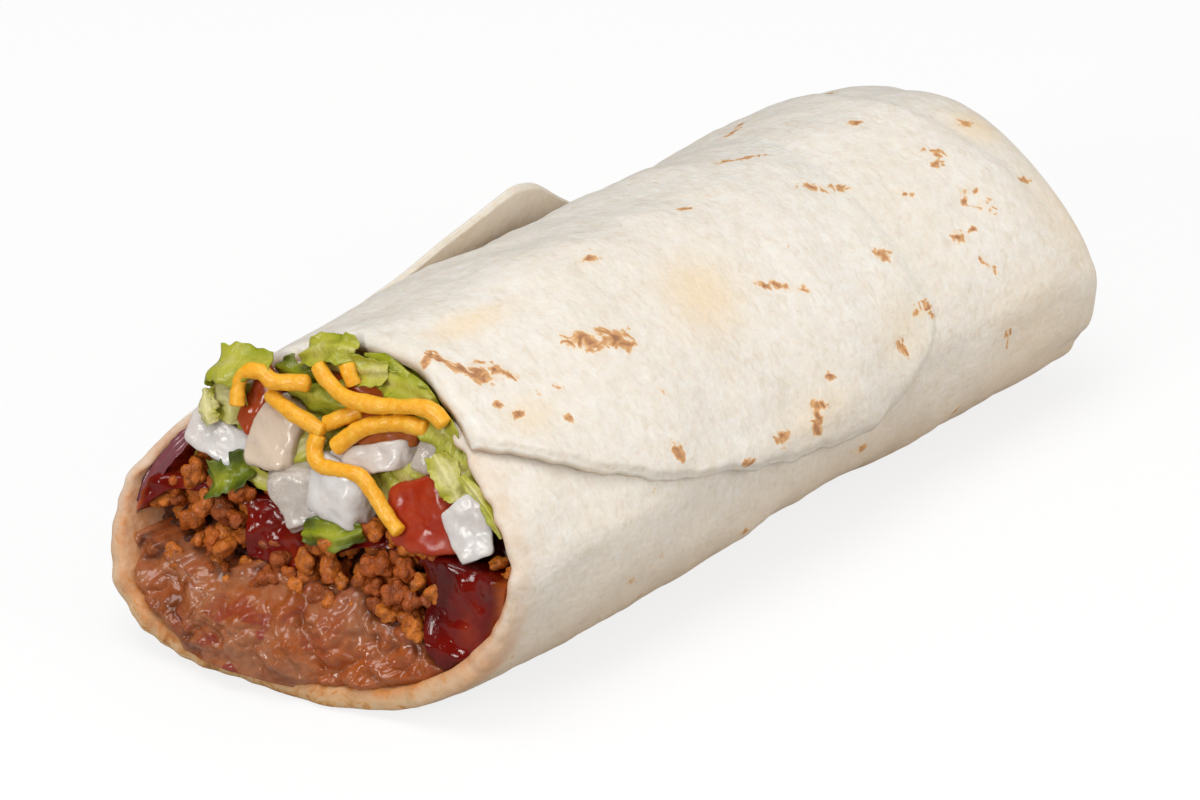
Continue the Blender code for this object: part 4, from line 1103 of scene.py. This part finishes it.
# middle as (y, z, forward), size along x, y and z in mm, turn in degrees, how crisp its edges are, and tint
ONIONS = (
    ((18.2, 32.2, -1.8), (4.6, 9.4, 6.4), (24, 0, 4), 9, 0.0),
    ((9.2, 34.6, -2.2), (6.0, 9.4, 11.6), (-14, 0, 0), 8, 0.70),
    ((1.8, 28.4, 0.4), (3.0, 7.6, 10.0), (-38, 0, 6), 14, 0.30),
    ((-4.8, 29.8, -0.4), (6.0, 9.6, 9.0), (8, 0, 0), 7, 0.0),
    ((-7.4, 36.0, -1.0), (4.0, 12.4, 4.2), (-22, 0, 0), 8, 0.18),
    ((-16.0, 39.2, -1.4), (4.0, 5.0, 8.0), (16, 0, 0), 8, 0.35),
    ((-27.0, 31.0, 0.0), (4.6, 7.0, 8.6), (-30, 0, 4), 14, 0.0),
)
TOMATOES = (
    ((-18.6, 31.2, -1.4), (5.0, 13.0, 11.2), (-14, 0, 0), 9, 0.0),
    ((14.2, 38.8, -2.0), (4.0, 4.6, 10.0), (12, 0, 0), 8, 0.35),
    ((-7.6, 39.6, -2.4), (4.4, 11.0, 5.4), (-12, 0, 0), 8, 0.95),
    ((-1.8, 44.0, -2.4), (4.0, 12.0, 4.4), (-6, 0, 0), 8, 0.80),
)
for number, (middle, size, turn, softness, hue) in enumerate(ONIONS, 1):
    label = "onion_clear" if 0.25 < hue < 0.5 else "onion_milky"
    dice(f"onion_piece_{number}", middle, size, turn, 60 + number, softness, hue, onion_finishes[label])
for number, (middle, size, turn, softness, hue) in enumerate(TOMATOES, 1):
    dice(f"tomato_piece_{number}", middle, size, turn, 80 + number, softness, hue, tomato_flesh)

# THE GRATED CHEESE
# Strands of golden cheese from a coarse grater, 2.6 mm thick and softened by the warm filling,
# so they bend over each other and have lost their square edges.
cheese_strand, tree, shader, place = new_finish(
    "cheese_strand", Specular_IOR_Level=0.4, Coat_Weight=0.25, Coat_Roughness=0.18,
    Subsurface_Weight=0.25, Subsurface_Scale=0.002)
shader.inputs["Subsurface Radius"].default_value = (1.0, 0.6, 0.15)
grains = use_group(tree, grain, Place=place, Size=900.0)
gold = mixed(tree, mask(tree, grains["Mottle"], 0.42, 0.66), (0.84, 0.380, 0.009), (0.89, 0.48, 0.040))
waxy = maths(tree, "MULTIPLY_ADD", grains["Mottle"], 0.4, 0.22)
cover(tree, shader, gold, waxy, grains["Height"], 0.35, 0.0005)
STRAND = 1.28 * MM


def strand(number, route):
    """One strand: a tube with uneven thickness and blunt, slightly torn ends."""
    long, sides = 30 * len(route), 24
    spine = along_route([on_cut(*p) for p in route], long)
    ahead = np.gradient(spine, axis=0)
    ahead /= np.linalg.norm(ahead, axis=1, keepdims=True)
    side = np.cross(ahead, np.array([-0.87, -0.25, 0.40]))
    side /= np.linalg.norm(side, axis=1, keepdims=True)
    up = np.cross(side, ahead)
    turn = np.linspace(0, 2 * math.pi, sides, endpoint=False)[None, :, None]
    t = np.linspace(0, 1, long)
    near_end = np.maximum(np.abs(t - 0.5) * 2 - 1 + 10 / long, 0) * long / 10
    blunt = np.sqrt(np.clip(1 - near_end**2, 0.02, 1))
    ring = (np.cos(turn) * side[:, None] + 0.9 * np.sin(turn) * up[:, None]) * STRAND * blunt[:, None, None]
    rings = spine[:, None] + ring
    uneven_rise = 1 + 0.10 * uneven(rings, 6 * MM, 90 + number) + 0.05 * uneven(rings, 1.8 * MM, 95 + number)
    rings = spine[:, None] + ring * uneven_rise[..., None]
    made = make_mesh(f"cheese_strand_{number}", tube_points(rings), ring_faces(long, sides), cheese_strand)
    face_out(made)
    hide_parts(f"cheese_shred_{number}")


# each strand's route, as points of y, z and forward in mm
STRANDS = (
    ((4.2, 48.2, 2.2), (1.3, 46.2, 2.4), (-2.6, 45.1, 2.8), (-7.8, 45.2, 2.8), (-13.3, 46.5, 2.6),
     (-16.3, 46.5, 2.4), (-19.0, 45.0, 2.2)),
    ((14.2, 39.4, 3.0), (15.1, 42.9, 3.2), (14.4, 44.6, 3.4), (11.9, 45.3, 3.4), (9.6, 44.4, 3.0),
     (4.2, 45.2, 2.2)),
    ((11.2, 41.8, 1.4), (6.6, 40.6, 2.0), (2.5, 39.7, 2.2), (-0.4, 39.2, 2.2)),
    ((0.8, 39.6, 0.9), (-1.6, 41.2, 0.9), (-4.2, 42.8, 0.4)),
    ((-2.2, 37.0, 1.6), (-4.3, 39.4, 1.6), (-6.9, 41.6, 1.6), (-11.4, 43.1, 1.4), (-16.0, 43.2, 1.2)),
    ((0.6, 38.6, 2.0), (0.2, 36.2, 2.2), (-1.5, 34.8, 2.6), (-4.9, 34.9, 2.8), (-8.6, 35.1, 2.8),
     (-11.5, 33.2, 2.6), (-14.3, 30.9, 2.4), (-17.6, 28.8, 2.4)),
    ((0.6, 48.6, 0.6), (-0.6, 47.0, 0.6), (-1.4, 45.6, 0.2)),
)
for number, route in enumerate(STRANDS, 1):
    strand(number, route)

# THE STAGE
# A wide pale floor under soft studio light from above, from in front and from the near side, and the camera.
floor_finish, tree, shader, place = new_finish("studio_floor", Roughness=0.9, Specular_IOR_Level=0.1)
rays = node(tree, "ShaderNodeLightPath")
bounced = maths(tree, "MAXIMUM", rays.outputs["Is Diffuse Ray"], rays.outputs["Is Glossy Ray"])
tree.links.new(mixed(tree, bounced, (0.9, 0.9, 0.9), (0.42, 0.40, 0.38)), shader.inputs["Base Color"])
seen = maths(tree, "MAXIMUM", rays.outputs["Is Camera Ray"], rays.outputs["Is Transmission Ray"])
glow = node(tree, "ShaderNodeEmission", {"Color": (1, 1, 1, 1), "Strength": 1.0})
blend = node(tree, "ShaderNodeMixShader", {"Fac": maths(tree, "MULTIPLY", seen, 0.8)})
tree.links.new(shader.outputs["BSDF"], blend.inputs[1])
tree.links.new(glow.outputs["Emission"], blend.inputs[2])
tree.links.new(blend.outputs["Shader"], tree.nodes["Material Output"].inputs["Surface"])
FLOOR_REACH, FLOOR_DROP = 6.0, 0.2 * MM
corners = [(FLOOR_REACH * x, FLOOR_REACH * y, 0) for x, y in ((-1, -1), (1, -1), (1, 1), (-1, 1))]
mesh = bpy.data.meshes.new("studio_floor")
mesh.from_pydata(corners, [], [(0, 1, 2, 3)])
mesh.materials.append(floor_finish)
floor = bpy.data.objects.new("studio_floor", mesh)
bpy.context.collection.objects.link(floor)
floor.location.z = -FLOOR_DROP

world = bpy.data.worlds.new("studio")
bpy.context.scene.world = world
world.use_nodes = True
sky = world.node_tree
rays = node(sky, "ShaderNodeLightPath")
SKY_LIGHT, SKY_SEEN, SKY_MIRRORED = 0.45, 1.0, 0.03
strength = maths(sky, "MULTIPLY_ADD", rays.outputs["Is Camera Ray"], SKY_SEEN - SKY_LIGHT, SKY_LIGHT)
strength = maths(sky, "MULTIPLY_ADD", rays.outputs["Is Glossy Ray"], SKY_MIRRORED - SKY_LIGHT, strength)
sky.nodes["Background"].inputs["Color"].default_value = (1, 1, 1, 1)
sky.links.new(strength, sky.nodes["Background"].inputs["Strength"])


def soft_lamp(name, at, towards, width, energy, tint):
    """A round lamp at a place, turned towards another."""
    lamp = bpy.data.lights.new(name, "AREA")
    lamp.shape, lamp.size, lamp.energy, lamp.color = "DISK", width, energy, tint
    made = bpy.data.objects.new(name, lamp)
    bpy.context.collection.objects.link(made)
    made.location = at
    made.rotation_euler = (Vector(towards) - Vector(at)).to_track_quat("-Z", "Y").to_euler()


soft_lamp("key_light", (-0.25, -0.05, 0.90), (0, 0, 0.03), 0.60, 4.1, (1.0, 1.0, 0.99))
soft_lamp("front_light", (-0.95, -0.10, 0.45), (-0.05, 0, 0.03), 0.30, 3.3, (1.0, 0.99, 0.96))
soft_lamp("fill_light", (0.45, -0.95, 0.40), (0, 0, 0.03), 0.90, 5.2, (1.0, 0.98, 0.95))

camera = bpy.data.cameras.new("camera")
camera.sensor_width, camera.lens, camera.clip_end = 36.0, 158.2, 20.0
viewer = bpy.data.objects.new("camera", camera)
bpy.context.collection.objects.link(viewer)
bearing, height_angle, distance = math.radians(-43.33), math.radians(29.91), 0.8343
aim = Vector((-12.59 * MM + AT[0], -4.96 * MM + AT[1], 25.75 * MM))
back = Vector((math.sin(bearing) * math.cos(height_angle), -math.cos(bearing) * math.cos(height_angle),
               math.sin(height_angle)))
viewer.location = aim + back * distance
viewer.rotation_euler = (-back).to_track_quat("-Z", "Y").to_euler()
bpy.context.scene.camera = viewer
bpy.context.scene.view_settings.view_transform = "Standard"
